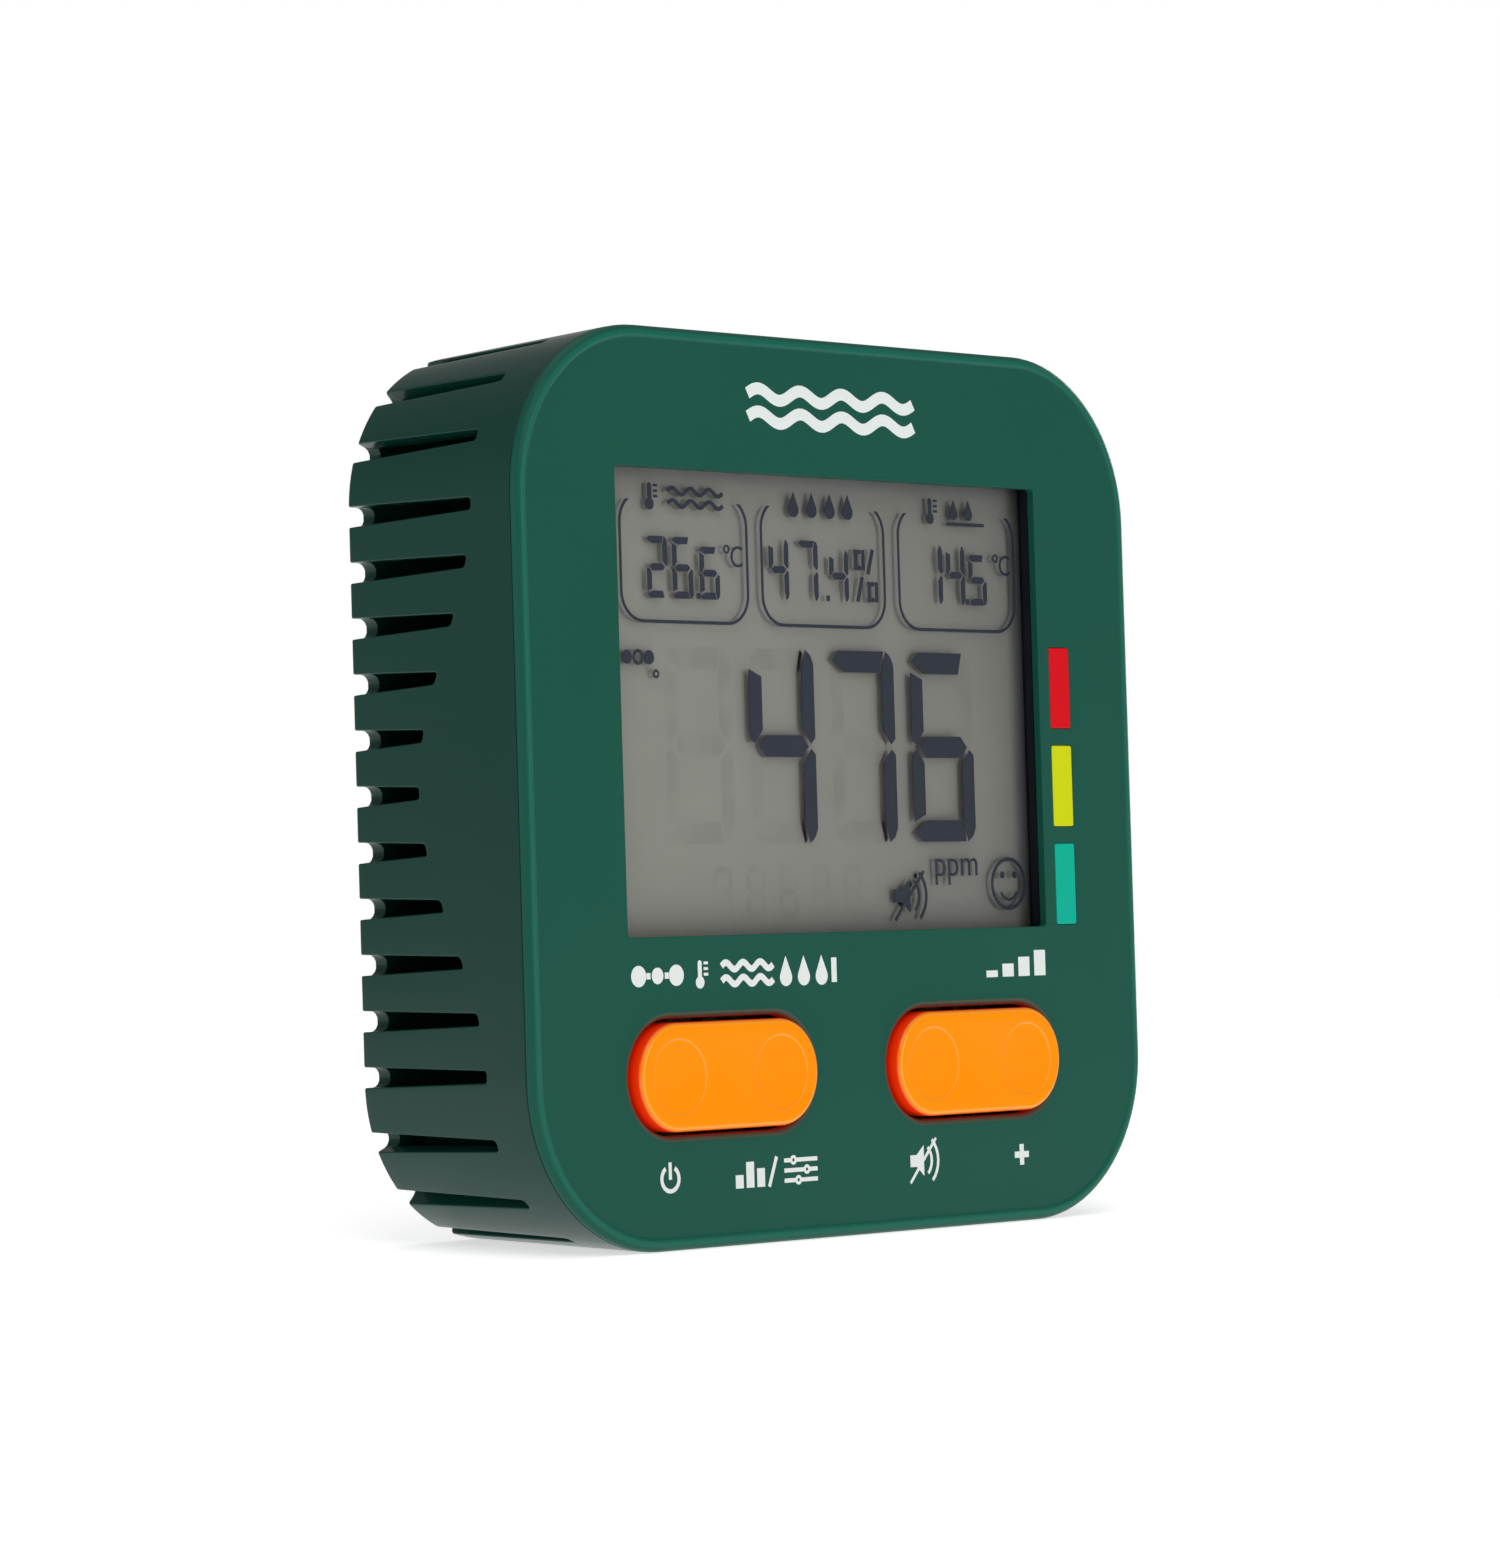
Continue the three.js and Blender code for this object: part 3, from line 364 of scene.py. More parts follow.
steel = metalFinish("plated steel", screenColour(196, 198, 202), 0.18)
darkSteel = metalFinish("blackened screw steel", screenColour(92, 94, 98), 0.28, grain=0.3)
boardGreen, cellWrap, sensorGold, filterCloth = boardFinish(), wrapFinish(), sensorFinish(), clothFinish()
pinSteel = metalFinish("blackened pin steel", screenColour(24, 24, 27), 0.5, grain=0.3)
chipBlack = mouldedPlastic("component plastic", screenColour(30, 30, 33), 0.5, grain=0.2)
stripRubber = mouldedPlastic("contact strip rubber", screenColour(84, 88, 92), 0.8, grain=0.5)
diffuserWhite = mouldedPlastic("diffuser plastic", screenColour(226, 228, 222), 0.5)
ledWhite = mouldedPlastic("lamp body plastic", screenColour(240, 236, 220), 0.3, grain=0.2)
redSleeve = mouldedPlastic("red insulation", screenColour(176, 26, 28), 0.42, grain=0.25)
blackSleeve = mouldedPlastic("black insulation", screenColour(26, 26, 28), 0.42, grain=0.25)

carried = {
    holderBlack: ["display_holder"], diffuserWhite: ["backlight_panel"],
    stripRubber: ["contact_strip_top", "contact_strip_bottom"],
    boardGreen: ["main_board", "power_inlet_board"],
    chipBlack: ["controller_chip", "sensor_header", "humidity_sensor", "sounder", "key_switch_left_a",
                "key_switch_left_b", "key_switch_right_a", "key_switch_right_b"],
    pinSteel: ["key_pin_left", "key_pin_right"],
    ledWhite: ["led_red", "led_yellow", "led_green"],
    steel: ["power_inlet", "battery_link_bottom_left",
            "battery_link_bottom_right", "battery_link_top", "battery_terminal_minus",
            "battery_terminal_plus", "board_screw_1", "board_screw_2", "board_screw_3", "board_screw_4"],
    sensorGold: ["carbon_dioxide_sensor"], filterCloth: ["sensor_filter"],
    redSleeve: ["power_inlet_lead_red", "battery_lead_red"],
    blackSleeve: ["power_inlet_lead_black", "battery_lead_black"],
}
for material, names in carried.items():
    for name in names:
        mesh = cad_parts[name].data
        mesh.materials.clear()
        mesh.materials.append(material)
print("finishes made")


# ---- modelling helpers

def outlinePoint(shape, index, inset, y):
    quarter = shape["steps"] + 1
    corner, step = divmod(index, quarter)
    angle = radians(90) * (corner + step / shape["steps"])
    radius = shape["radius"]
    x = (shape["width"] / 2 - radius) * (1 if corner in (0, 3) else -1)
    z = (shape["height"] / 2 - radius) * (1 if corner < 2 else -1)
    reach = radius - inset
    return Vector((shape["x"] + x + reach * cos(angle), y, shape["z"] + z + reach * sin(angle)))


def newMesh():  # its points remember their number along an outline
    bm = bmesh.new()
    bm.verts.layers.int.new("number")
    return bm


def ringAt(bm, shape, y, inset=0.0):  # the outline as a closed loop of edges
    number = bm.verts.layers.int["number"]
    count = 4 * (shape["steps"] + 1)
    verts = bmesh.ops.create_circle(bm, segments=count, radius=1)["verts"]
    for index, vert in enumerate(verts):
        vert[number] = index
        vert.co = outlinePoint(shape, index, inset, y)
    return loopEdges(verts)


def circleAt(bm, x, z, radius, y, segments=32):
    turned = Matrix.Translation((x, y, z)) @ Matrix.Rotation(radians(90), 4, "X")
    verts = bmesh.ops.create_circle(bm, segments=segments, radius=radius, matrix=turned)["verts"]
    return loopEdges(verts)


def loopEdges(verts):
    inside = set(verts)
    return list({edge for vert in verts for edge in vert.link_edges if edge.other_vert(vert) in inside})


def fill(bm, loops, y):
    edges = [edge for loop in loops for edge in loop]
    return bmesh.ops.triangle_fill(bm, use_beauty=True, use_dissolve=False, edges=edges, normal=(0, -1, 0))


def profileRings(bm, shape, stations):  # carries the outline through stations of (depth, inset)
    number = bm.verts.layers.int["number"]
    rings = [ringAt(bm, shape, *stations[0])]
    for y, inset in stations[1:]:
        made = bmesh.ops.extrude_edge_only(bm, edges=rings[-1])["geom"]
        verts = [item for item in made if isinstance(item, bmesh.types.BMVert)]
        for vert in verts:
            vert.co = outlinePoint(shape, vert[number], inset, y)
        rings.append(loopEdges(verts))
    return rings


def finishPiece(name, bm, body, materials, replaces=(), smoothAngle=32, bevel=None, weighted=False):
    bmesh.ops.remove_doubles(bm, verts=bm.verts, dist=0.0005)
    bmesh.ops.recalc_face_normals(bm, faces=bm.faces)
    bm.transform(caseToRow)
    mesh = bpy.data.meshes.new(name)
    bm.to_mesh(mesh)
    bm.free()
    for material in materials:
        mesh.materials.append(material)
    mesh.shade_smooth()
    mesh.set_sharp_from_angle(angle=radians(smoothAngle))
    piece = bpy.data.objects.new(name, mesh)
    bpy.context.scene.collection.objects.link(piece)
    if bevel:
        modifier = piece.modifiers.new("edges", "BEVEL")
        modifier.width, modifier.segments = bevel / 1000, 2
        modifier.limit_method, modifier.angle_limit = "ANGLE", radians(40)
        modifier.harden_normals = True
    if weighted:
        modifier = piece.modifiers.new("normals", "WEIGHTED_NORMAL")
        modifier.keep_sharp, modifier.weight = True, 100
    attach(piece, body)
    if replaces:
        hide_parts(*replaces)
    return piece


def block(bm, xs, ys, zs, bevel=0.0):
    size = (xs[1] - xs[0], ys[1] - ys[0], zs[1] - zs[0])
    middle = ((xs[0] + xs[1]) / 2, (ys[0] + ys[1]) / 2, (zs[0] + zs[1]) / 2)
    verts = bmesh.ops.create_cube(bm, size=1, matrix=Matrix.LocRotScale(middle, None, size))["verts"]
    if bevel:
        bmesh.ops.bevel(bm, geom=loopEdges(verts), offset=bevel, segments=2, profile=0.5,
                        affect="EDGES", material=-1)
    return verts


def spun(bm, profile, x, z, steps=24):  # a closed section of (radius, depth), turned about a line along y
    verts = [bm.verts.new((x + radius, y, z)) for radius, y in profile]
    face = bmesh.ops.contextual_create(bm, geom=verts)["faces"][0]
    bmesh.ops.spin(bm, geom=[face], cent=(x, 0, z), axis=(0, 1, 0), angle=2 * pi, steps=steps,
                   use_merge=True)
    bmesh.ops.delete(bm, geom=[face], context="FACES_ONLY")


def turnedSolid(bm, profile, x, z, steps=24):  # an open line of (radius, depth) that starts and ends on the axis
    verts = [bm.verts.new((x + radius, y, z)) for radius, y in profile]
    edges = [bm.edges.new(pair) for pair in zip(verts, verts[1:])]
    bmesh.ops.spin(bm, geom=verts + edges, cent=(x, 0, z), axis=(0, 1, 0), angle=2 * pi, steps=steps,
                   use_merge=True)


# ---- front case

display = {
    "left": -41.3, "right": 39.6, "bottom": 39.6, "top": 99.0,
    "lip": 1.3, "depth": 3.1, "cornerRadius": 0.5, "reflector": 4.15, "glassBack": 5.3,
    "overlapX": 1.4, "overlapZ": 2.4,
}
windowX, windowZ = (display["left"] + display["right"]) / 2, (display["bottom"] + display["top"]) / 2
windowShape = {"width": display["right"] - display["left"], "height": display["top"] - display["bottom"],
               "radius": display["cornerRadius"], "x": windowX, "z": windowZ, "steps": 4}
bars = {
    "width": 4.1, "height": 11.0, "x": 43.95, "pitch": 13.35, "lowest": 45.3,
    "clearance": 0.06, "radius": 0.35, "roll": 0.12,
}
keys = {
    "height": 13.8, "z": 21.85, "proud": keyProud, "length": 32.9, "x": {"left": -24.8, "right": 23.6},
    "gap": 0.5, "rim": 0.75, "padReach": 9.4, "padRadius": 4.9, "padDepth": 0.2, "padSlope": 0.22,
    "edgeRoll": 0.75, "skirtEnd": 3.2, "wall": 1.4, "steps": 20,
}
front = {
    "edgeRoll": 1.1, "bead": 0.12, "slope": 0.5, "faceDepth": 0.22, "wall": 2.0, "rollSteps": 8,
    "plugInset": 2.45, "plugWall": 1.2, "plugEnd": 5.0, "bossRadius": 3.2, "bossBore": 1.75,
}


def barShape(index, grow):
    return {"width": bars["width"] + 2 * grow, "height": bars["height"] + 2 * grow,
            "radius": bars["radius"] + grow, "x": bars["x"],
            "z": bars["lowest"] + (2 - index) * bars["pitch"], "steps": 4}


def keyShape(side, grow):
    height = keys["height"] + 2 * grow
    return {"width": keys["length"] + 2 * grow, "height": height, "radius": height / 2 - 0.02,
            "x": keys["x"][side], "z": keys["z"], "steps": keys["steps"]}


def quarterTurn(steps):
    return [radians(90) * step / steps for step in range(steps + 1)]


def makeFrontCase():
    bm = newMesh()
    face, wall = front["faceDepth"], front["wall"]
    roll, bead, slope = front["edgeRoll"], front["bead"], front["slope"]
    outer = [(case["parting"], 0)]
    for angle in quarterTurn(front["rollSteps"]):
        outer.append((roll * (1 - sin(angle)), roll * (1 - cos(angle))))
    crest = roll + bead
    outer.append((0.0, crest))
    for step in range(1, 6):  # a soft step down from the bead to the face
        part = step / 5
        outer.append((face * (1 - cos(pi * part)) / 2, crest + slope * part))
    outer.append((face, crest + slope + 0.15))
    rings = profileRings(bm, caseShape, outer)
    under = profileRings(bm, caseShape, [
        (case["parting"], 0), (case["parting"], front["plugInset"]),
        (front["plugEnd"] - 0.3, front["plugInset"]), (front["plugEnd"], front["plugInset"] + 0.3),
        (front["plugEnd"], front["plugInset"] + front["plugWall"]),
        (wall, front["plugInset"] + front["plugWall"])])
    frontLoops, backLoops = [rings[-1]], [under[-1]]
    window = profileRings(bm, windowShape, [
        (face, -0.12), (face + 0.04, -0.03), (face + 0.12, 0), (display["lip"], 0), (display["lip"], -5.4),
        (wall, -5.4)])
    frontLoops.append(window[0])
    backLoops.append(window[-1])
    for index in range(3):
        hole = profileRings(bm, barShape(index, bars["clearance"]), [
            (face, -0.08), (face + 0.08, 0), (wall, 0)])
        frontLoops.append(hole[0])
        backLoops.append(hole[-1])
    for side in keys["x"]:
        rim = keys["rim"]
        lip = [(face, -0.1)] + [(face + rim * (1 - cos(angle)), rim * sin(angle))
                                for angle in quarterTurn(5)]
        hole = profileRings(bm, keyShape(side, keys["gap"] + rim), lip + [(wall, rim)])
        frontLoops.append(hole[0])
        backLoops.append(hole[-1])
    fill(bm, frontLoops, face)
    fill(bm, backLoops, wall)
    for x in (-47.05, 47.05):
        for z in (11.7, 105.3):
            spun(bm, [(front["bossBore"], wall), (front["bossRadius"], wall), (front["bossRadius"], 8.0),
                      (front["bossBore"], 8.0)], x, z)
    for x, z in ((-30, 107.3), (30, 107.3), (-47.5, 33.0), (47.5, 33.0)):
        spun(bm, [(1.4, wall), (2.6, wall), (2.6, 9.3), (1.4, 9.3)], x, z)
    for side, x in keys["x"].items():
        for up in (-1, 1):
            near = keys["z"] + up * 8.4
            ends = sorted((near, near + up * 1.6))
            for foot in (-3, 1.15):
                block(bm, (x + foot, x + foot + 1.85), (wall - 0.1, 6.4), ends, 0.15)
            block(bm, (x - 1.2, x + 1.2), (wall - 0.1, 3.5), ends, 0.15)
    for side in keys["x"]:  # the walls of the key openings take the green with the painted key glow
        shape = keyShape(side, keys["gap"] + keys["rim"] + 0.1)
        for meshFace in bm.faces:
            middle = meshFace.calc_center_median()
            across, up = abs(middle.x - shape["x"]), abs(middle.z - shape["z"])
            if face < middle.y < wall and across < shape["width"] / 2 and up < shape["height"] / 2:
                meshFace.material_index = 1
    return finishPiece("front_case_shell", bm, "case", [faceGreen, keyGlowGreen],
                       ["front_case"], smoothAngle=40, weighted=True)


makeFrontCase()
print("front case made")

# ---- rear case: a sheet of rows and columns over the side wall, round the rear edge and onto the rear
# wall, with the vent slots and the door's way cut out of it, then given its thickness

rear = {
    "sideWall": 2.0, "rearWall": 2.2, "edgeRoll": 0.55, "edgeBevel": 0.2,
    "slotsPerHalf": 8, "slotPathInset": 4.9, "lastSlotAngle": 68.9,
    "widthFront": 1.5, "widthRear": 2.65, "endCorner": 0.4, "nickReach": 2.75,
    "startCorner": 8.8, "startRise": 11.25, "plateRing": 5.2, "arcStep": 1.7,
    "doorHalf": 32.6, "railHalf": 34.5, "railFront": 28.5, "railBack": 30.2, "doorTop": 64.9,
    "screwX": 47.05, "screwZ": (11.7, 105.3), "recessRadius": 2.7, "screwSeat": 24.0,
    "postRadius": 3.7, "postFront": 8.3, "screwBore": 1.75,
    "inlet": {"width": 8.4, "height": 3.6, "radius": 1.3, "x": 45.6, "z": 44.0, "steps": 6},
}
arcLength = case["radius"] * radians(90)
flatHigh, flatWide = case["height"] - 2 * case["radius"], case["width"] - 2 * case["radius"]
walk = [("flat", flatHigh / 2), ("arc", arcLength), ("flat", flatWide), ("arc", arcLength),
        ("flat", flatHigh), ("arc", arcLength), ("flat", flatWide), ("arc", arcLength),
        ("flat", flatHigh / 2)]
roundLength = sum(length for kind, length in walk)


def alongOutline(u, inset, y):  # u runs from the middle of the right side, upwards and round
    left = u % roundLength
    spot, turn = Vector((halfWidth - case["radius"], 0, midHeight)), 0.0
    for kind, length in walk:
        step = min(left, length)
        if kind == "flat":
            spot += step * Vector((-sin(turn), 0, cos(turn)))
        else:
            turn += step / case["radius"]
        left -= step
        if left <= 1e-9:
            break
    reach = case["radius"] - inset
    return spot + Vector((reach * cos(turn), y, reach * sin(turn)))


def fromSideMiddle(u):
    around = u % (roundLength / 2)
    return min(around, roundLength / 2 - around)


def slotStart(u):
    away = fromSideMiddle(u)
    wave = (1 + cos(pi * away / (flatHigh / 2))) / 2 if away < flatHigh / 2 else 0
    return rear["startCorner"] + rear["startRise"] * wave


def rearRows():
    rows = [("front", 0.0), ("front", 0.5), ("slot", 0.0), ("slot", 0.12), ("slot", 0.4),
            ("reach", 0.33), ("reach", 0.66), ("depth", rear["railFront"]), ("depth", rear["railBack"])]
    rows += [("roll", angle) for angle in quarterTurn(4)]
    nick, half = rear["nickReach"], rear["widthRear"] / 2
    rows.append(("plate", 1.0))
    rows += [("nick", radians(angle)) for angle in (0, 25, 50, 72)]
    rows.append(("plate", rear["plateRing"]))
    return rows


def rowPlace(row, u):  # depth, inset and half the width of a slot there
    kind, value = row
    start, roll = slotStart(u), rear["edgeRoll"]
    depth, half = case["depth"], rear["widthRear"] / 2
    if kind == "front":
        y = case["rearStart"] + value * (start - case["rearStart"])
    elif kind == "slot":
        y = start + value
    elif kind == "reach":
        y = start + value * (rear["railFront"] - start)
    elif kind == "depth":
        y = value
    elif kind == "roll":
        y = depth - roll + roll * sin(value)
        return y, insetAt(y) + roll * (1 - cos(value)), half
    else:
        across = value if kind == "plate" else rear["nickReach"] - half + half * sin(value)
        return depth, insetAt(depth) + across, half * (cos(value) if kind == "nick" else 1)
    narrow = rear["widthFront"] / 2
    wide = narrow + (half - narrow) * max(0, y - start) / (depth - start)
    if kind == "slot":
        corner = rear["endCorner"]
        wide -= corner - sqrt(max(0, corner ** 2 - (corner - value) ** 2))
    return y, insetAt(y), wide


def innerPlace(row, u):
    y, inset, half = rowPlace(row, u)
    deepest, wall = case["depth"] - rear["rearWall"], rear["sideWall"]
    if row[0] in ("plate", "nick"):
        return deepest, max(inset, insetAt(deepest) + wall), half
    y = min(y, deepest)
    return y, insetAt(y) + wall, half


def rearColumns():
    slots = []
    pathRadius = case["radius"] - rear["slotPathInset"]
    pitch = (flatHigh / 2 + pathRadius * radians(rear["lastSlotAngle"])) / rear["slotsPerHalf"]
    for k in range(-rear["slotsPerHalf"], rear["slotsPerHalf"] + 1):
        away = abs(k) * pitch
        if away > flatHigh / 2:
            away = flatHigh / 2 + (away - flatHigh / 2) / pathRadius * case["radius"]
        for middle in (0, roundLength / 2):
            slots.append((middle + (away if k >= 0 else -away)) % roundLength)
    anchors = [(u, side, u) for u in slots for side in (-1, 0, 1)]
    bottomMiddle = roundLength * 0.75
    for x in (rear["doorHalf"], rear["railHalf"]):
        anchors += [(bottomMiddle - x, 0, None), (bottomMiddle + x, 0, None)]
    joint = flatHigh / 2 + arcLength
    for u in (joint, roundLength / 2 - joint):
        anchors += [(u, 0, None), (u + roundLength / 2, 0, None)]
    anchors.sort(key=lambda anchor: (anchor[0] + anchor[1] * 0.5) % roundLength)
    return anchors


def columnU(column, row, inner):
    if column[0] == "between":
        first, second, part = column[1:]
        low, high = columnU(first, row, inner), columnU(second, row, inner)
        if high < low:
            high += roundLength
        return low + (high - low) * part
    u, side, slot = column[1]
    if slot is None or side == 0:
        return u
    y, inset, half = (innerPlace if inner else rowPlace)(row, u)
    if fromSideMiddle(u) <= flatHigh / 2:
        return u + side * half
    return u + side * case["radius"] * asin(half / (case["radius"] - inset))


def onArc(u):
    return flatHigh / 2 < fromSideMiddle(u) < flatHigh / 2 + arcLength


def makeRearCase():
    anchors, rows = rearColumns(), rearRows()
    columns, slotSpans = [], set()
    for index, anchor in enumerate(anchors):
        following = anchors[(index + 1) % len(anchors)]
        columns.append(("anchor", anchor))
        if anchor[2] is not None and anchor[2] == following[2]:
            slotSpans.add(len(columns) - 1)
            continue
        span = (following[0] - anchor[0]) % roundLength
        if onArc(anchor[0] + 0.4 * span) or onArc(anchor[0] + 0.6 * span):
            count = ceil(span / rear["arcStep"])
            columns += [("between", ("anchor", anchor), ("anchor", following), step / count)
                        for step in range(1, count)]
    columns.append(columns[0])
    bm = newMesh()
    rowLayer = bm.verts.layers.int.new("row")
    columnLayer = bm.verts.layers.int.new("column")
    wide, high = len(columns) - 1, len(rows) - 1
    verts = bmesh.ops.create_grid(bm, x_segments=wide, y_segments=high, size=0.5)["verts"]
    for vert in verts:
        vert[columnLayer] = round((vert.co.x + 0.5) * wide) + 1
        vert[rowLayer] = round((vert.co.y + 0.5) * high) + 1
    slotFirst, nickLast = rows.index(("slot", 0.0)), high - 1
    railFirst, railLast = rows.index(("depth", rear["railFront"])), rows.index(("depth", rear["railBack"]))
    bottomMiddle = roundLength * 0.75
    gone = []
    for face in bm.faces:
        column = min(vert[columnLayer] for vert in face.verts) - 1
        row = min(vert[rowLayer] for vert in face.verts) - 1
        middle = sum(columnU(columns[column + side], rows[0], False) for side in (0, 1)) / 2
        fromMiddle = abs(middle - bottomMiddle)
        inSlot = column in slotSpans and slotFirst <= row < nickLast
        inDoor = row >= railFirst and fromMiddle < rear["doorHalf"]
        inRail = railFirst <= row < railLast and fromMiddle < rear["railHalf"]
        if inSlot or inDoor or inRail:
            gone.append(face)
    bmesh.ops.delete(bm, geom=gone, context="FACES")
    for vert in bm.verts:
        column, row = columns[vert[columnLayer] - 1], rows[vert[rowLayer] - 1]
        u = columnU(column, row, False)
        y, inset, half = rowPlace(row, u)
        vert.co = alongOutline(u, inset, y)
    bmesh.ops.remove_doubles(bm, verts=bm.verts, dist=0.001)
    lastRow = high + 1
    ring = [edge for edge in bm.edges if edge.is_boundary and all(v[rowLayer] == lastRow for v in edge.verts)]
    feet = [vert for vert in bm.verts if vert[rowLayer] == lastRow
            and abs(abs(vert.co.x) - rear["doorHalf"]) < 0.01 and vert.co.z < 20]
    feet.sort(key=lambda vert: vert.co.x)
    heads = [bm.verts.new((foot.co.x, case["depth"], rear["doorTop"])) for foot in feet]
    ring += [bm.edges.new((feet[0], heads[0])), bm.edges.new((heads[0], heads[1])),
             bm.edges.new((heads[1], feet[1]))]
    loops = [ring, ringAt(bm, rear["inlet"], case["depth"])]
    for x in (-rear["screwX"], rear["screwX"]):
        for z in rear["screwZ"]:
            loops.append(circleAt(bm, x, z, rear["recessRadius"], case["depth"]))
    fill(bm, loops, case["depth"])
    bmesh.ops.recalc_face_normals(bm, faces=bm.faces)
    probe = max(bm.faces, key=lambda face: face.calc_center_median().x)
    if probe.normal.x < 0:
        bmesh.ops.reverse_faces(bm, faces=bm.faces)
    outer = set(bm.verts)
    outerFaces = set(bm.faces)
    made = bmesh.ops.solidify(bm, geom=list(bm.faces), thickness=rear["rearWall"])["geom"]
    inner = [item for item in made if isinstance(item, bmesh.types.BMVert) and item not in outer]
    for vert in inner:
        if vert[columnLayer]:
            column, row = columns[vert[columnLayer] - 1], rows[vert[rowLayer] - 1]
            u = columnU(column, row, True)
            y, inset, half = innerPlace(row, u)
            vert.co = alongOutline(u, inset, y)
        else:
            vert.co.y = case["depth"] - rear["rearWall"]
    print("rear sheet", len(outer), "outer", len(inner), "inner points")
    innerSet = set(inner)
    bmesh.ops.recalc_face_normals(bm, faces=bm.faces)
    sharp = [edge for edge in bm.edges if len(edge.link_faces) == 2 and not (set(edge.verts) & innerSet)
             and edge.calc_face_angle(0) > radians(50)]
    bmesh.ops.bevel(bm, geom=sharp, offset=rear["edgeBevel"], segments=2, profile=0.5, affect="EDGES",
                    material=-1, clamp_overlap=False)
    deepest = case["depth"] - rear["rearWall"]
    for x in (-rear["screwX"], rear["screwX"]):
        for z in rear["screwZ"]:
            spun(bm, [(rear["screwBore"], rear["postFront"]), (rear["postRadius"], rear["postFront"]),
                      (rear["postRadius"], deepest), (rear["recessRadius"], deepest),
                      (rear["recessRadius"], rear["screwSeat"]), (rear["screwBore"], rear["screwSeat"])],
                 x, z, 32)
    makeTray(bm)
    return finishPiece("rear_case_shell", bm, "case", [rearGreen], ["rear_case"],
                       smoothAngle=50, weighted=True)


tray = {
    "innerHalf": 29.85, "bottom": 4.3, "top": 61.1, "floor": 13.7, "wall": 1.4, "rear": 28.5,
    "railWall": 1.3, "foot": 3.4, "inletPost": 1.4,
}


def makeTray(bm):  # the battery bay and the rails that the door slides in, as one thin-walled tub
    inner, wall, rail = tray["innerHalf"], tray["wall"], rear["railHalf"]
    low, top, floor = tray["bottom"], tray["top"], tray["floor"]
    outerX, deepest = rail + tray["railWall"], case["depth"] - rear["rearWall"]
    highZ = rear["doorTop"] + tray["railWall"]
    block(bm, (-inner - wall, inner + wall), (floor - wall, floor), (low - wall, top + wall), 0.2)
    for side in (-1, 1):
        block(bm, sorted((side * inner, side * (inner + wall))), (floor - 0.1, tray["rear"]),
              (low - wall, top + wall), 0.2)
        block(bm, sorted((side * (inner + wall - 0.1), side * outerX)),
              (tray["rear"] - tray["railWall"], tray["rear"]), (tray["foot"], highZ), 0.2)
        block(bm, sorted((side * rail, side * outerX)), (tray["rear"] - 0.1, deepest + 0.1),
              (tray["foot"], highZ), 0.2)
        block(bm, sorted((side * 3.2, side * 26)), (floor - 0.1, tray["rear"]), (top, top + wall), 0.2)
        block(bm, sorted((side * 0.1, side * 3.2)), (floor - 0.1, tray["rear"]), (top, top + wall), 0.2)
    block(bm, (-inner, inner), (floor - 0.1, tray["rear"]), (low - wall, low), 0.2)
    block(bm, (-outerX, outerX), (tray["rear"] - tray["railWall"], tray["rear"]), (top + wall - 0.1, highZ), 0.2)
    block(bm, (-outerX, outerX), (tray["rear"] - 0.1, deepest + 0.1), (rear["doorTop"], highZ), 0.2)


makeRearCase()
print("rear case made")

# ---- keys

def makeKey(side):
    bm = newMesh()
    roll, proud = keys["edgeRoll"], keys["proud"]
    shape = keyShape(side, 0)
    skirt = [(keys["skirtEnd"], 0)]
    skirt += [(roll * (1 - sin(angle)) - proud, roll * (1 - cos(angle))) for angle in quarterTurn(6)]
    skirt.append((-proud, roll + 0.2))
    rings = profileRings(bm, shape, skirt)
    loops = [rings[-1]]
    depth, slope = keys["padDepth"], keys["padSlope"]
    for end in (-1, 1):
        pad = {"width": 2 * keys["padRadius"], "height": 2 * keys["padRadius"],
               "radius": keys["padRadius"] - 0.001, "x": shape["x"] + end * keys["padReach"],
               "z": shape["z"], "steps": 16}
        dish = [(-proud, -0.12), (-proud + 0.02, 0)]
        dish += [(-proud + 0.02 + (depth - 0.04) * part, slope * part) for part in (0.33, 0.67)]
        dish += [(-proud + depth - 0.015, slope), (-proud + depth, slope + 0.14)]
        pan = profileRings(bm, pad, dish)
        loops.append(pan[0])
        bmesh.ops.contextual_create(bm, geom=pan[-1])
    fill(bm, loops, -proud)
    hollow = profileRings(bm, keyShape(side, -keys["wall"]), [
        (keys["skirtEnd"], 0), (0.4 + roll, 0), (0.4, roll * 0.8)])
    fill(bm, [hollow[-1]], 0.4)
    fill(bm, [ringAt(bm, shape, keys["skirtEnd"]), hollow[0]], keys["skirtEnd"])
    x, z = shape["x"], shape["z"]
    block(bm, (x - 2.2, x + 2.2), (0.3, 4.6 - 1.05), (z - 5.8, z + 5.8), 0.25)
    for wing in (-1, 1):
        block(bm, sorted((x + wing * 1.05, x + wing * 2.2)), (3.4, 6.35), (z - 5.8, z + 5.8), 0.2)
    block(bm, (x - 1.1, x + 1.1), (5.65, 6.35), (z - 5.8, z + 5.8), 0.2)
    for end in (-1, 1):
        turnedSolid(bm, [(0, 0.3), (1.5, 0.3), (1.5, 4.25), (1.25, 4.5), (0, 4.5)],
                    x + end * (keys["length"] / 2 - 7.05), z)
    return finishPiece("key_cap_" + side, bm, side + "_key", [keyOrange],
                       ["key_" + side], smoothAngle=40)


for side in keys["x"]:
    makeKey(side)
print("keys made")

# ---- indicator bars

lensFinishes = {"red": redLens, "yellow": yellowLens, "green": tealLens}


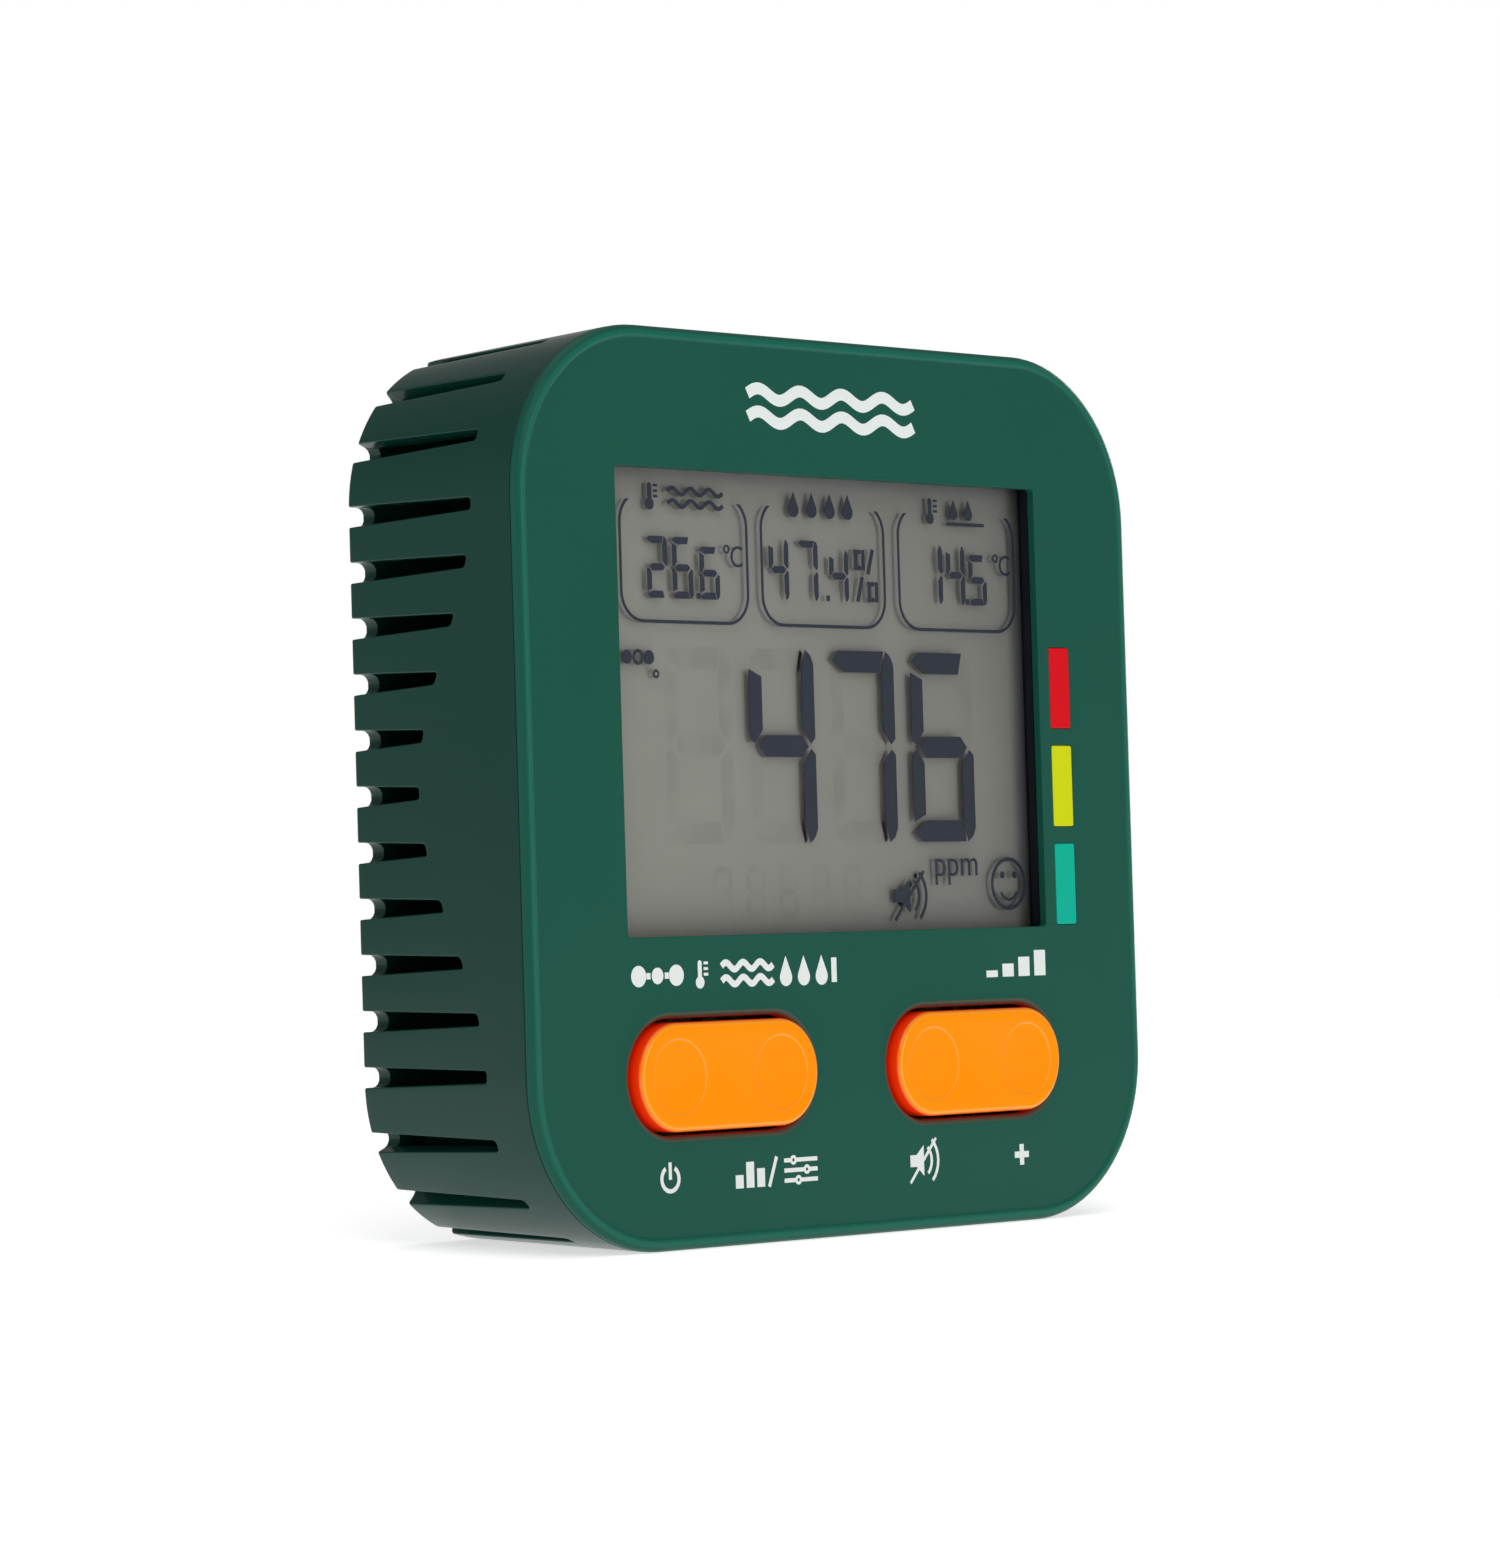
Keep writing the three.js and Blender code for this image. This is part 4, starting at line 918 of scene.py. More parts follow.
def makeBar(index, colour):
    bm = newMesh()
    face, roll = front["faceDepth"], bars["roll"]
    shape = barShape(index, 0)
    rings = profileRings(bm, shape, [(1.2, 0), (face + roll, 0), (face + roll * 0.3, roll * 0.3),
                                     (face, roll), (face, roll + 0.1)])
    fill(bm, [rings[-1]], face)
    fill(bm, [rings[0]], 1.2)
    stemX = bars["x"] + 0.6
    block(bm, (stemX - 1.35, stemX + 1.35), (1.1, 8.3), (shape["z"] - 4, shape["z"] + 4), 0.3)
    finishPiece("light_bar_" + colour, bm, "case", [lensFinishes[colour]],
                ["light_pipe_" + colour], smoothAngle=40)


for index, colour in enumerate(lensFinishes):
    makeBar(index, colour)
print("indicator bars made")

# ---- printed marks and display segments: flat plates of a given thickness

def arcPoints(x, z, radius, fromAngle, toAngle):
    count = max(3, ceil((toAngle - fromAngle) / 15))
    turns = [radians(fromAngle + (toAngle - fromAngle) * step / count) for step in range(count + 1)]
    return [(x + radius * cos(turn), z + radius * sin(turn)) for turn in turns]


class Print:
    def __init__(self, top, thickness):
        self.bm, self.back, self.thickness = newMesh(), top + thickness, thickness

    def thicken(self, before):  # gives every face added since then its thickness
        added = [face for face in self.bm.faces if face not in before]
        made = bmesh.ops.extrude_face_region(self.bm, geom=added)["geom"]
        moved = [item for item in made if isinstance(item, bmesh.types.BMVert)]
        bmesh.ops.translate(self.bm, verts=moved, vec=(0, -self.thickness, 0))

    def polygon(self, points, x=0.0, z=0.0, corner=0.0):
        before = set(self.bm.faces)
        verts = [self.bm.verts.new((x + px, self.back, z + pz)) for px, pz in points]
        edges = [self.bm.edges.new(pair) for pair in zip(verts, verts[1:] + verts[:1])]
        bmesh.ops.contextual_create(self.bm, geom=edges)
        if corner:
            bmesh.ops.bevel(self.bm, geom=verts, offset=corner, segments=3, profile=0.5,
                            affect="VERTICES", material=-1)
        self.thicken(before)

    def bar(self, first, second, width, corner=0.0):  # a straight stroke between two points
        (x0, z0), (x1, z1) = first, second
        length = sqrt((x1 - x0) ** 2 + (z1 - z0) ** 2)
        sideX, sideZ = -(z1 - z0) / length * width / 2, (x1 - x0) / length * width / 2
        self.polygon([(x0 + sideX, z0 + sideZ), (x1 + sideX, z1 + sideZ), (x1 - sideX, z1 - sideZ),
                      (x0 - sideX, z0 - sideZ)], corner=corner)

    def disc(self, x, z, radius):
        before = set(self.bm.faces)
        turned = Matrix.Translation((x, self.back, z)) @ Matrix.Rotation(radians(90), 4, "X")
        bmesh.ops.create_circle(self.bm, cap_ends=True, segments=24, radius=radius, matrix=turned)
        self.thicken(before)

    def arc(self, x, z, radius, width, fromAngle=0, toAngle=360):  # degrees, anticlockwise from +x
        before = set(self.bm.faces)
        ends = [Vector((x, self.back, z)) + reach * Vector((cos(radians(fromAngle)), 0, sin(radians(fromAngle))))
                for reach in (radius + width / 2, radius - width / 2)]
        verts = [self.bm.verts.new(end) for end in ends]
        edge = self.bm.edges.new(verts)
        swing = toAngle - fromAngle
        bmesh.ops.spin(self.bm, geom=verts + [edge], cent=(x, 0, z), axis=(0, -1, 0), angle=radians(swing),
                       steps=max(4, ceil(swing / 12)), use_merge=swing >= 360)
        self.thicken(before)

    def frame(self, shape, width, openAbove=None):  # a rounded outline, left open above a height
        before = set(self.bm.faces)
        number = self.bm.verts.layers.int["number"]
        outer = ringAt(self.bm, shape, self.back)
        made = bmesh.ops.extrude_edge_only(self.bm, edges=outer)["geom"]
        for vert in made:
            if isinstance(vert, bmesh.types.BMVert):
                vert.co = outlinePoint(shape, vert[number], width, self.back)
        if openAbove:
            added = [face for face in self.bm.faces if face not in before]
            around = {item for face in added for item in list(face.verts) + list(face.edges)}
            bmesh.ops.bisect_plane(self.bm, geom=added + list(around), plane_co=(0, 0, openAbove),
                                   plane_no=(0, 0, 1), clear_outer=True)
        self.thicken(before)

    def text(self, body, x, z, width, height):  # x and z of the lower left corner
        curve = bpy.data.curves.new(body, "FONT")
        curve.body, curve.resolution_u = body, 6
        letters = bpy.data.objects.new(body, curve)
        bpy.context.scene.collection.objects.link(letters)
        bpy.context.view_layer.update()
        mesh = bpy.data.meshes.new_from_object(letters)
        across, up = [v.co.x for v in mesh.vertices], [v.co.y for v in mesh.vertices]
        mesh.transform(Matrix.Translation((x, self.back, z)) @ Matrix.Rotation(radians(90), 4, "X")
                       @ Matrix.Diagonal((width / (max(across) - min(across)),
                                          height / (max(up) - min(up)), 1, 1))
                       @ Matrix.Translation((-min(across), -min(up), 0)))
        before = set(self.bm.faces)
        self.bm.from_mesh(mesh)
        bpy.data.objects.remove(letters)
        bpy.data.meshes.remove(mesh)
        self.thicken(before)

    def drop(self, x, z, radius):  # a droplet with its tip up
        round_ = arcPoints(0, 0, radius, 155, 385)
        self.polygon(round_ + [(0, radius * 2.4)], x, z)

    def stream(self, x, z, length, swing, width, periods):  # a wavy band
        steps = 14 * periods
        over, under = [], []
        for step in range(steps + 1):
            angle = 2 * pi * periods * step / steps
            slope = atan(2 * pi * periods * swing / length * cos(angle))
            px, pz = x + length * step / steps, z + swing * sin(angle)
            over.append((px - width / 2 * sin(slope), pz + width / 2 * cos(slope)))
            under.append((px + width / 2 * sin(slope), pz - width / 2 * cos(slope)))
        self.polygon(over + under[::-1])

    def thermometer(self, x, z, height):
        bulb, stem = height * 0.22, height * 0.1
        outline = arcPoints(0, bulb, bulb, 117, 423) + arcPoints(0, height - stem, stem, 0, 180)
        self.polygon(outline, x, z)
        for tick in (0.5, 0.7, 0.9):
            self.bar((x + height * 0.2, z + height * tick), (x + height * 0.42, z + height * tick), height * 0.1)

    def speaker(self, x, z, height):  # crossed out; x and z of the middle of its back
        body = ((0, -0.17), (0.27, -0.17), (0.58, -0.44), (0.58, 0.44), (0.27, 0.17), (0, 0.17))
        self.polygon([(px * height, pz * height) for px, pz in body], x, z)
        for reach in (0.5, 0.78):
            self.arc(x + 0.42 * height, z, reach * height, height * 0.1, -48, 48)
        self.thickness *= 1.6
        self.bar((x - 0.02 * height, z - 0.62 * height), (x + 1.12 * height, z + 0.62 * height), height * 0.09)
        self.thickness /= 1.6

    def piece(self, name, material, slot):
        return finishPiece(name, self.bm, "case", [material])


litSegments = {"1": "bc", "4": "bcfg", "5": "acdfg", "6": "acdefg", "7": "abc", "2": "abdeg", "6top": "acdefg"}


def segmentShape(name, wide, high, thick, bar, gap):  # outline of a segment of a seven-segment digit
    middle = high / 2
    if name == "a":
        return [(thick * 0.1, high - bar * 0.45), (thick * 0.65, high), (wide - thick * 0.68 - gap, high),
                (wide - thick - gap, high - bar), (thick * 1.15, high - bar)]
    if name == "b":
        return [(wide - thick * 0.66, high), (wide - thick * 0.24, high - thick * 0.3),
                (wide, high - thick * 0.8), (wide, middle + thick * 0.45), (wide - thick * 0.35, middle + gap),
                (wide - thick, middle + thick * 0.95), (wide - thick, high - bar - gap)]
    if name == "f":
        return [(0, high - bar * 0.95), (thick, high - bar * 1.28), (thick, middle + thick * 0.9),
                (thick * 0.36, middle + gap), (0, middle + thick * 0.35)]
    if name == "g":
        return [(thick * 0.7, middle), (thick * 1.22, middle + bar / 2), (wide - thick * 1.1, middle + bar / 2),
                (wide - thick * 0.56, middle), (wide - thick * 1.1, middle - bar / 2),
                (thick * 1.22, middle - bar / 2)]
    twin = {"c": "b", "d": "a", "e": "f"}[name]
    return [(x, high - z) for x, z in segmentShape(twin, wide, high, thick, bar, gap)]


def writeDigit(ink, value, x, z, wide, high, thick, bar, gap, segments=None):
    for name in segments or litSegments[value]:
        ink.polygon(segmentShape(name, wide, high, thick, bar, gap), x, z)


reading = {
    "top": 3.16, "thickness": 0.05,
    "large": {"wide": 12.35, "high": 25.3, "thick": 2.35, "bar": 2.85, "gap": 0.34},
    "small": {"wide": 3.75, "high": 7.9, "thick": 0.84, "bar": 0.92, "gap": 0.12},
    "last": {"wide": 3.65, "high": 6.8, "thick": 0.8, "bar": 0.9, "gap": 0.12},
    "largeX": (-14.75, 0.95, 16.65), "largeZ": 51.3, "emptyX": -30.4,
    "boxes": ((-37.96, -14.20), (-11.85, 12.29), (14.82, 38.70)),
    "boxLow": 79.5, "boxHigh": 96.2, "boxRadius": 4.0, "boxLine": 0.42, "boxOpen": 95.2,
}


def drawReadings(ink):
    for value, x in zip("476", reading["largeX"]):
        writeDigit(ink, value, x, reading["largeZ"], **reading["large"])
    for low, (text, first, pitch, lastX) in zip((82.7, 83.0, 83.2), (
            ("266", -33.0, 4.66, -23.3), ("474", -10.3, 5.65, 1.35), ("145", 20.05, 4.55, 29.15))):
        for step in (0, 1):
            writeDigit(ink, text[step], first + pitch * step, low, **reading["small"])
        writeDigit(ink, text[2], lastX, low, **reading["last"])
        ink.bar((lastX - 0.75, low + 0.42), (lastX - 0.1, low + 0.42), 0.75)
    for x, z in ((-18.85, 87.0), (34.1, 87.35)):
        ink.arc(x + 0.6, z + 2.3, 0.45, 0.26)
        ink.text("C", x + 1.35, z, 2.2, 2.75)
    for x, z in ((6.2, 87.3), (8.7, 83.1)):  # percent sign built from segments
        for start, end in (((0.3, 0), (0.3, 2.7)), ((1.75, 0), (1.75, 2.7)), ((0.72, 0.3), (1.33, 0.3)),
                           ((0.72, 2.4), (1.33, 2.4))):
            ink.bar((x + start[0], z + start[1]), (x + end[0], z + end[1]), 0.6)
    ink.bar((6.7, 83.1), (7.7, 86.4), 0.62)
    ink.bar((8.85, 86.8), (9.85, 90.1), 0.62)
    for left, right in reading["boxes"]:
        shape = {"width": right - left, "height": reading["boxHigh"] - reading["boxLow"],
                 "radius": reading["boxRadius"], "x": (left + right) / 2,
                 "z": (reading["boxHigh"] + reading["boxLow"]) / 2, "steps": 10}
        ink.frame(shape, reading["boxLine"], reading["boxOpen"])
    ink.thermometer(-32.2, 93.9, 3.5)  # air temperature
    for row in (0, 1):
        ink.stream(-28.9, 94.85 + 1.6 * row, 10.2, 0.42, 0.55, 3)
    for step in range(4):  # humidity
        ink.drop(-5.3 + 3.5 * step, 94.85, 0.98)
    ink.thermometer(21.6, 93.9, 3.5)  # dew point
    ink.drop(26.4, 95.4, 0.82)
    ink.drop(29.4, 95.4, 0.82)
    ink.bar((24.9, 94.05), (32.6, 94.05), 0.45)
    ink.disc(-37.1, 75.1, 0.92)  # gas molecule
    ink.arc(-35.1, 75.1, 0.8, 0.45)
    ink.disc(-33.1, 75.1, 0.92)
    ink.arc(-31.9, 73.0, 0.42, 0.32)
    ink.text("ppm", 20.5, 45.5, 8.6, 3.55)
    ink.arc(35.4, 45.5, 3.35, 0.5)  # comfort face
    ink.arc(35.4, 45.1, 1.75, 0.42, 205, 335)
    for x in (34.15, 36.65):
        ink.disc(x, 46.7, 0.5)
    ink.speaker(12.3, 44.15, 5.2)


def makeDisplay():
    high = windowShape["height"] / 2 + display["overlapZ"]
    wide = windowShape["width"] / 2 + display["overlapX"]
    sheet = {"xs": (windowX - wide, windowX + wide), "zs": (windowZ - high, windowZ + high)}
    bm = newMesh()
    block(bm, sheet["xs"], (display["reflector"], display["glassBack"]), sheet["zs"], 0.1)
    finishPiece("display_reflector", bm, "case", [reflectorGrey], ["display_panel"])
    bm = newMesh()
    block(bm, sheet["xs"], (display["depth"], display["reflector"] - 0.02), sheet["zs"], 0.08)
    finishPiece("display_front_glass", bm, "case", [displayGlass])

    for name, material, top, thickness in (
            ("display_segments", segmentInk, reading["top"], reading["thickness"]),
            ("display_segment_shadows", segmentShade, display["reflector"] - 0.015, 0.01)):
        ink = Print(top, thickness)
        drawReadings(ink)
        ink.piece(name, material, "display_glass")

    faint = Print(reading["top"] + 0.08, 0.02)
    for x, names in zip((reading["emptyX"],) + reading["largeX"], ("abcdefg", "ade", "defg", "b")):
        writeDigit(faint, None, x, reading["largeZ"], segments=names, **reading["large"])
    for step in range(5):
        writeDigit(faint, None, -22.5 + 6.2 * step, 41.6, segments="abcdefg", **reading["last"])
    faint.piece("display_unlit_segments", unlitSegment, "display_glass")


makeDisplay()
print("display made")

legends = {"thickness": 0.03, "captionZ": 34.7, "buttonZ": 9.1}


def makeLegends():
    ink = Print(front["faceDepth"] - legends["thickness"], legends["thickness"])
    for row in range(2):  # air stream emblem
        ink.stream(-16.6, 109.3 - 3.0 * row, 32.0, 0.72, 1.55, 4)
    z = legends["captionZ"]
    ink.disc(-39.7, z, 1.35)  # molecule, thermometer, air, droplets and scale pictograms
    ink.bar((-38.3, z), (-37.6, z), 0.8)
    ink.disc(-36.3, z, 1.05)
    ink.bar((-35.0, z), (-34.3, z), 0.8)
    ink.disc(-32.9, z, 1.35)
    ink.thermometer(-28.6, z - 1.8, 3.6)
    for row in (-1, 1):
        ink.stream(-24.6, z + row * 0.95, 9.6, 0.45, 0.85, 3)
    for step in range(3):
        ink.drop(-12.6 + 3.4 * step, z - 0.75, 1.15)
    ink.bar((-3.4, z - 1.6), (-3.4, z + 1.6), 1.0)
    for step in range(4):  # air quality scale
        ink.bar((28.0 + 3.3 * step, z - 1.75), (28.0 + 3.3 * step, z - 0.85 + 0.85 * step), 2.3)
    z = legends["buttonZ"]
    ink.arc(-35.05, z, 1.55, 0.55, 122, 418)  # power
    ink.bar((-35.05, z - 0.1), (-35.05, z + 2.1), 0.55)
    for step, tall in enumerate((1.7, 3.3, 2.4)):  # average and settings
        ink.bar((-22.4 + 2.0 * step, z - 1.85), (-22.4 + 2.0 * step, z - 1.85 + tall), 1.45)
    ink.bar((-16.9, z - 1.9), (-15.4, z + 1.9), 0.55)
    for row, knob in enumerate((0.28, 0.68, 0.42)):
        level = z + 1.3 - 1.3 * row
        middle = -14.0 + 6.3 * knob
        ink.bar((-14.0, level), (middle - 0.6, level), 0.55)
        ink.bar((middle + 0.6, level), (-7.7, level), 0.55)
        ink.arc(middle, level, 0.42, 0.4)
    ink.speaker(10.4, z, 4.6)  # mute
    for first, second in (((31.5, z - 0.15), (34.4, z - 0.15)), ((32.95, z - 1.55), (32.95, z + 1.25))):
        ink.bar(first, second, 0.85)
        ink.thickness *= 1.3
    ink.piece("printed_legends", legendWhite, "face_plastic")


makeLegends()
print("legends made")

# ---- battery door, screws, cells and springs

door = {
    "half": 32.3, "tongue": 34.2, "tongueFront": 28.8, "plateFront": 29.6, "top": 64.6, "bottom": 1.72,
    "roll": 0.35, "corner": 0.9, "gripWidth": 16.0, "gripHeight": 0.9, "gripDepth": 0.5, "grips": 4,
    "gripTop": 56.6, "gripPitch": 1.8,
}


def makeDoor():
    bm = newMesh()
    back, roll = case["depth"], door["roll"]
    shape = {"width": 2 * door["half"], "height": door["top"] - door["bottom"], "radius": door["corner"],
             "x": 0, "z": (door["top"] + door["bottom"]) / 2, "steps": 6}
    sides = [(door["tongueFront"], 0)]
    sides += [(back - roll * (1 - sin(angle)), roll * (1 - cos(angle))) for angle in quarterTurn(4)]
    rings = profileRings(bm, shape, sides + [(back, roll + 0.1)])
    loops = [rings[-1]]
    for step in range(door["grips"]):
        groove = {"width": door["gripWidth"], "height": door["gripHeight"], "radius": 0.44, "x": 0,
                  "z": door["gripTop"] - door["gripPitch"] * step, "steps": 6}
        dip = profileRings(bm, groove, [(back, -0.12), (back - 0.06, -0.02), (back - 0.15, 0.04),
                                        (back - door["gripDepth"] + 0.1, 0.12),
                                        (back - door["gripDepth"], 0.24)])
        loops.append(dip[0])
        fill(bm, [dip[-1]], back)
    fill(bm, loops, back)
    fill(bm, [rings[0]], door["tongueFront"])
    for side in (-1, 1):
        block(bm, sorted((side * (door["half"] - 0.3), side * door["tongue"])),
              (door["tongueFront"], door["plateFront"]), (door["bottom"], door["top"]), 0.2)
    finishPiece("battery_door_plate", bm, "door", [rearGreen], ["battery_door"],
                smoothAngle=40, weighted=True)


def turnedPart(bm, profile, matrix, steps=28):  # a line of (radius, height) turned about z, then placed
    before = set(bm.verts)
    verts = [bm.verts.new((radius, 0, height)) for radius, height in profile]
    edges = [bm.edges.new(pair) for pair in zip(verts, verts[1:])]
    bmesh.ops.spin(bm, geom=verts + edges, cent=(0, 0, 0), axis=(0, 0, 1), angle=2 * pi, steps=steps,
                   use_merge=True)
    added = [vert for vert in bm.verts if vert not in before]
    bmesh.ops.remove_doubles(bm, verts=added, dist=0.0005)
    added = [vert for vert in bm.verts if vert not in before]
    bmesh.ops.transform(bm, verts=added, matrix=matrix)
    return added


screw = {
    "tip": 3.6, "radius": 1.45, "seat": 24.3, "headRadius": 2.4, "head": 2.0, "flat": 1.7,
    "slotWidth": 0.62, "slotReach": 1.35, "slotDepth": 1.1, "thread": 0.8,
}


def makeScrew(name, x, z, turn):
    bm = newMesh()
    radius, seat, top = screw["radius"], screw["seat"], screw["seat"] + screw["head"]
    line = [(0, screw["tip"]), (radius * 0.8, screw["tip"] + radius)]
    y = screw["tip"] + radius
    while y < 12:  # the threaded end
        line += [(radius, y + screw["thread"] * 0.4), (radius * 0.8, y + screw["thread"] * 0.8)]
        y += screw["thread"]
    line += [(radius, y + 0.6), (radius, seat), (screw["headRadius"] - 0.1, seat),
             (screw["headRadius"], seat + 0.1), (screw["headRadius"], seat + 1.2),
             (screw["headRadius"] - 0.18, top - 0.35), (screw["flat"] + 0.12, top - 0.04), (screw["flat"], top)]
    upright = Matrix.Translation((x, 0, z)) @ Matrix.Rotation(radians(-90), 4, "X")
    added = turnedPart(bm, line, upright, 32)
    rim = [edge for edge in bm.edges if edge.is_boundary and all(abs(v.co.y - top) < 1e-4 for v in edge.verts)]
    half, reach = screw["slotWidth"] / 2, screw["slotReach"]
    corners = []
    for quarter in range(4):
        spin = Matrix.Rotation(radians(90 * quarter + turn), 4, "Y")
        corners += [spin @ Vector((reach, 0, half)), spin @ Vector((reach, 0, -half)),
                    spin @ Vector((half, 0, -half))]
    verts = [bm.verts.new(Vector((x, top, z)) + corner) for corner in corners]
    cross = [bm.edges.new(pair) for pair in zip(verts, verts[1:] + verts[:1])]
    fill(bm, [rim, cross], top)
    made = bmesh.ops.extrude_edge_only(bm, edges=cross)["geom"]
    low = [item for item in made if isinstance(item, bmesh.types.BMVert)]
    for vert in low:
        vert.co = Vector((x, top, z)) + (vert.co - Vector((x, top, z))) * 0.62
        vert.co.y = top - screw["slotDepth"]
    fill(bm, [loopEdges(low)], top)
    finishPiece(name + "_cross_head", bm, "case", [darkSteel], [name], smoothAngle=40)


cell = {
    "radius": 7.1, "length": 50.5, "nub": 1.0, "nubRadius": 2.7, "y": 21.1, "pitch": 15.0,
    "low": 5.3, "springRoom": 4.9,
}
spring = {
    "height": 4.6, "radius": 4.4, "topRadius": 2.8, "wire": 0.35, "turns": 3, "steps": 26,
    "plateLow": 5.3, "plateHigh": 60.1,
}


def makeCell(index):
    nubUp = index % 2 == 1
    bm = newMesh()
    body, radius = cell["length"] - cell["nub"], cell["radius"]
    wrap = [(radius - 0.9, 0.12), (radius - 0.35, 0.0), (radius, 0.35), (radius, body - 0.35),
            (radius - 0.35, body), (radius - 0.9, body - 0.1)]
    can = [(0, 0.25), (3.4, 0.25), (4.0, 0.05), (radius - 0.9, 0.05), (radius - 0.9, body - 0.15),
           (cell["nubRadius"] + 1.2, body - 0.05), (cell["nubRadius"], body - 0.05),
           (cell["nubRadius"], cell["length"] - 0.25), (cell["nubRadius"] - 0.25, cell["length"]),
           (0, cell["length"])]
    x = (index - 1.5) * cell["pitch"]
    low = cell["low"] + (cell["springRoom"] if nubUp else 0)
    place = Matrix.Translation((x, cell["y"], low))
    if not nubUp:
        place = place @ Matrix.Translation((0, 0, cell["length"])) @ Matrix.Rotation(pi, 4, "X")
    turnedPart(bm, can, place, 36)
    metalFaces = len(bm.faces)
    turnedPart(bm, wrap + wrap[:1], place, 36)
    for number, face in enumerate(bm.faces):
        face.material_index = 1 if number < metalFaces else 0
    finishPiece("battery_cell_body_%d" % (index + 1), bm, "case", [cellWrap, steel],
                ["battery_cell_%d" % (index + 1)], smoothAngle=40)


def makeSpring(index):
    nubUp = index % 2 == 1
    bm = newMesh()
    steps = spring["turns"] * spring["steps"]
    rise, wire = spring["height"] - 2 * spring["wire"], spring["wire"]
    reach = spring["radius"] - wire
    across = Matrix.Translation((reach, 0, 0)) @ Matrix.Rotation(radians(90), 4, "X")
    made = bmesh.ops.create_circle(bm, segments=10, radius=wire, cap_ends=True, matrix=across)["verts"]
    face = next(iter(bm.faces))
    bmesh.ops.spin(bm, geom=[face], cent=(0, 0, 0), axis=(0, 0, 1), angle=2 * pi * spring["turns"],
                   steps=steps, dvec=(0, 0, rise / steps))
    narrow = spring["radius"] - spring["topRadius"]
    for vert in bm.verts:
        part = min(1, max(0, vert.co.z / rise))
        flat = Vector((vert.co.x, vert.co.y, 0))
        vert.co -= flat.normalized() * narrow * part
    x = (index - 1.5) * cell["pitch"]
    if nubUp:
        place = Matrix.Translation((x, cell["y"], spring["plateLow"] + wire))
    else:
        place = Matrix.Translation((x, cell["y"], spring["plateHigh"] - wire)) @ Matrix.Rotation(pi, 4, "X")
    bmesh.ops.transform(bm, verts=bm.verts, matrix=place)
    finishPiece("battery_coil_%d" % (index + 1), bm, "case", [steel],
                ["battery_spring_%d" % (index + 1)], smoothAngle=60)


makeDoor()
for row, z in enumerate(rear["screwZ"]):
    for side, x in enumerate((-rear["screwX"], rear["screwX"])):
        makeScrew("case_screw_%d" % (row * 2 + side + 1), x, z, 17 + 29 * row + 53 * side)
for index in range(4):
    makeCell(index)
    makeSpring(index)
print("door, screws, cells and springs made")

# ---- camera, lights and floor

view = {
    "position": (-539.55, -490.68, 38.39), "azimuth": 46.72, "elevation": -1.665, "roll": -1.71,
    "lens": 128.55, "sensor": 36,
}
lights = {
    "above": 0.24, "below": 0.58, "backdrop": 1.0,
    "key": {"place": (-0.55, -0.75, 0.95), "size": 0.9, "power": 4.0},
    "top": {"place": (0.0, 0.05, 1.15), "size": 1.1, "power": 2.4},
    "side": {"place": (-1.2, 0.25, 0.35), "size": 0.7, "power": 1.2},
    "front strip": {"place": (0.22, -0.9, 0.12), "size": 0.09, "tall": 0.7, "power": 1.5},
    "right strip": {"place": (0.98, 0.12, 0.2), "size": 0.1, "tall": 0.7, "power": 1.6},
}


def makeCamera():
    turn, rise, roll = (radians(view[key]) for key in ("azimuth", "elevation", "roll"))
    back = Vector((-sin(turn) * cos(rise), -cos(turn) * cos(rise), sin(rise)))
    right = (-back).cross(Vector((0, 0, 1))).normalized()
    up = right.cross(-back)
    right, up = cos(roll) * right + sin(roll) * up, cos(roll) * up - sin(roll) * right
    axes = Matrix((right, up, back)).transposed().to_4x4()
    data = bpy.data.cameras.new("studio camera")
    data.lens, data.sensor_width, data.sensor_fit = view["lens"], view["sensor"], "AUTO"
    data.clip_start, data.clip_end = 0.01, 50
    camera = bpy.data.objects.new("studio camera", data)
    lean = Matrix.Rotation(-leanAngle, 4, "X")
    camera.matrix_world = Matrix.Translation(caseToRow @ Vector(view["position"])) @ lean @ axes
    bpy.context.scene.collection.objects.link(camera)
    bpy.context.scene.camera = camera


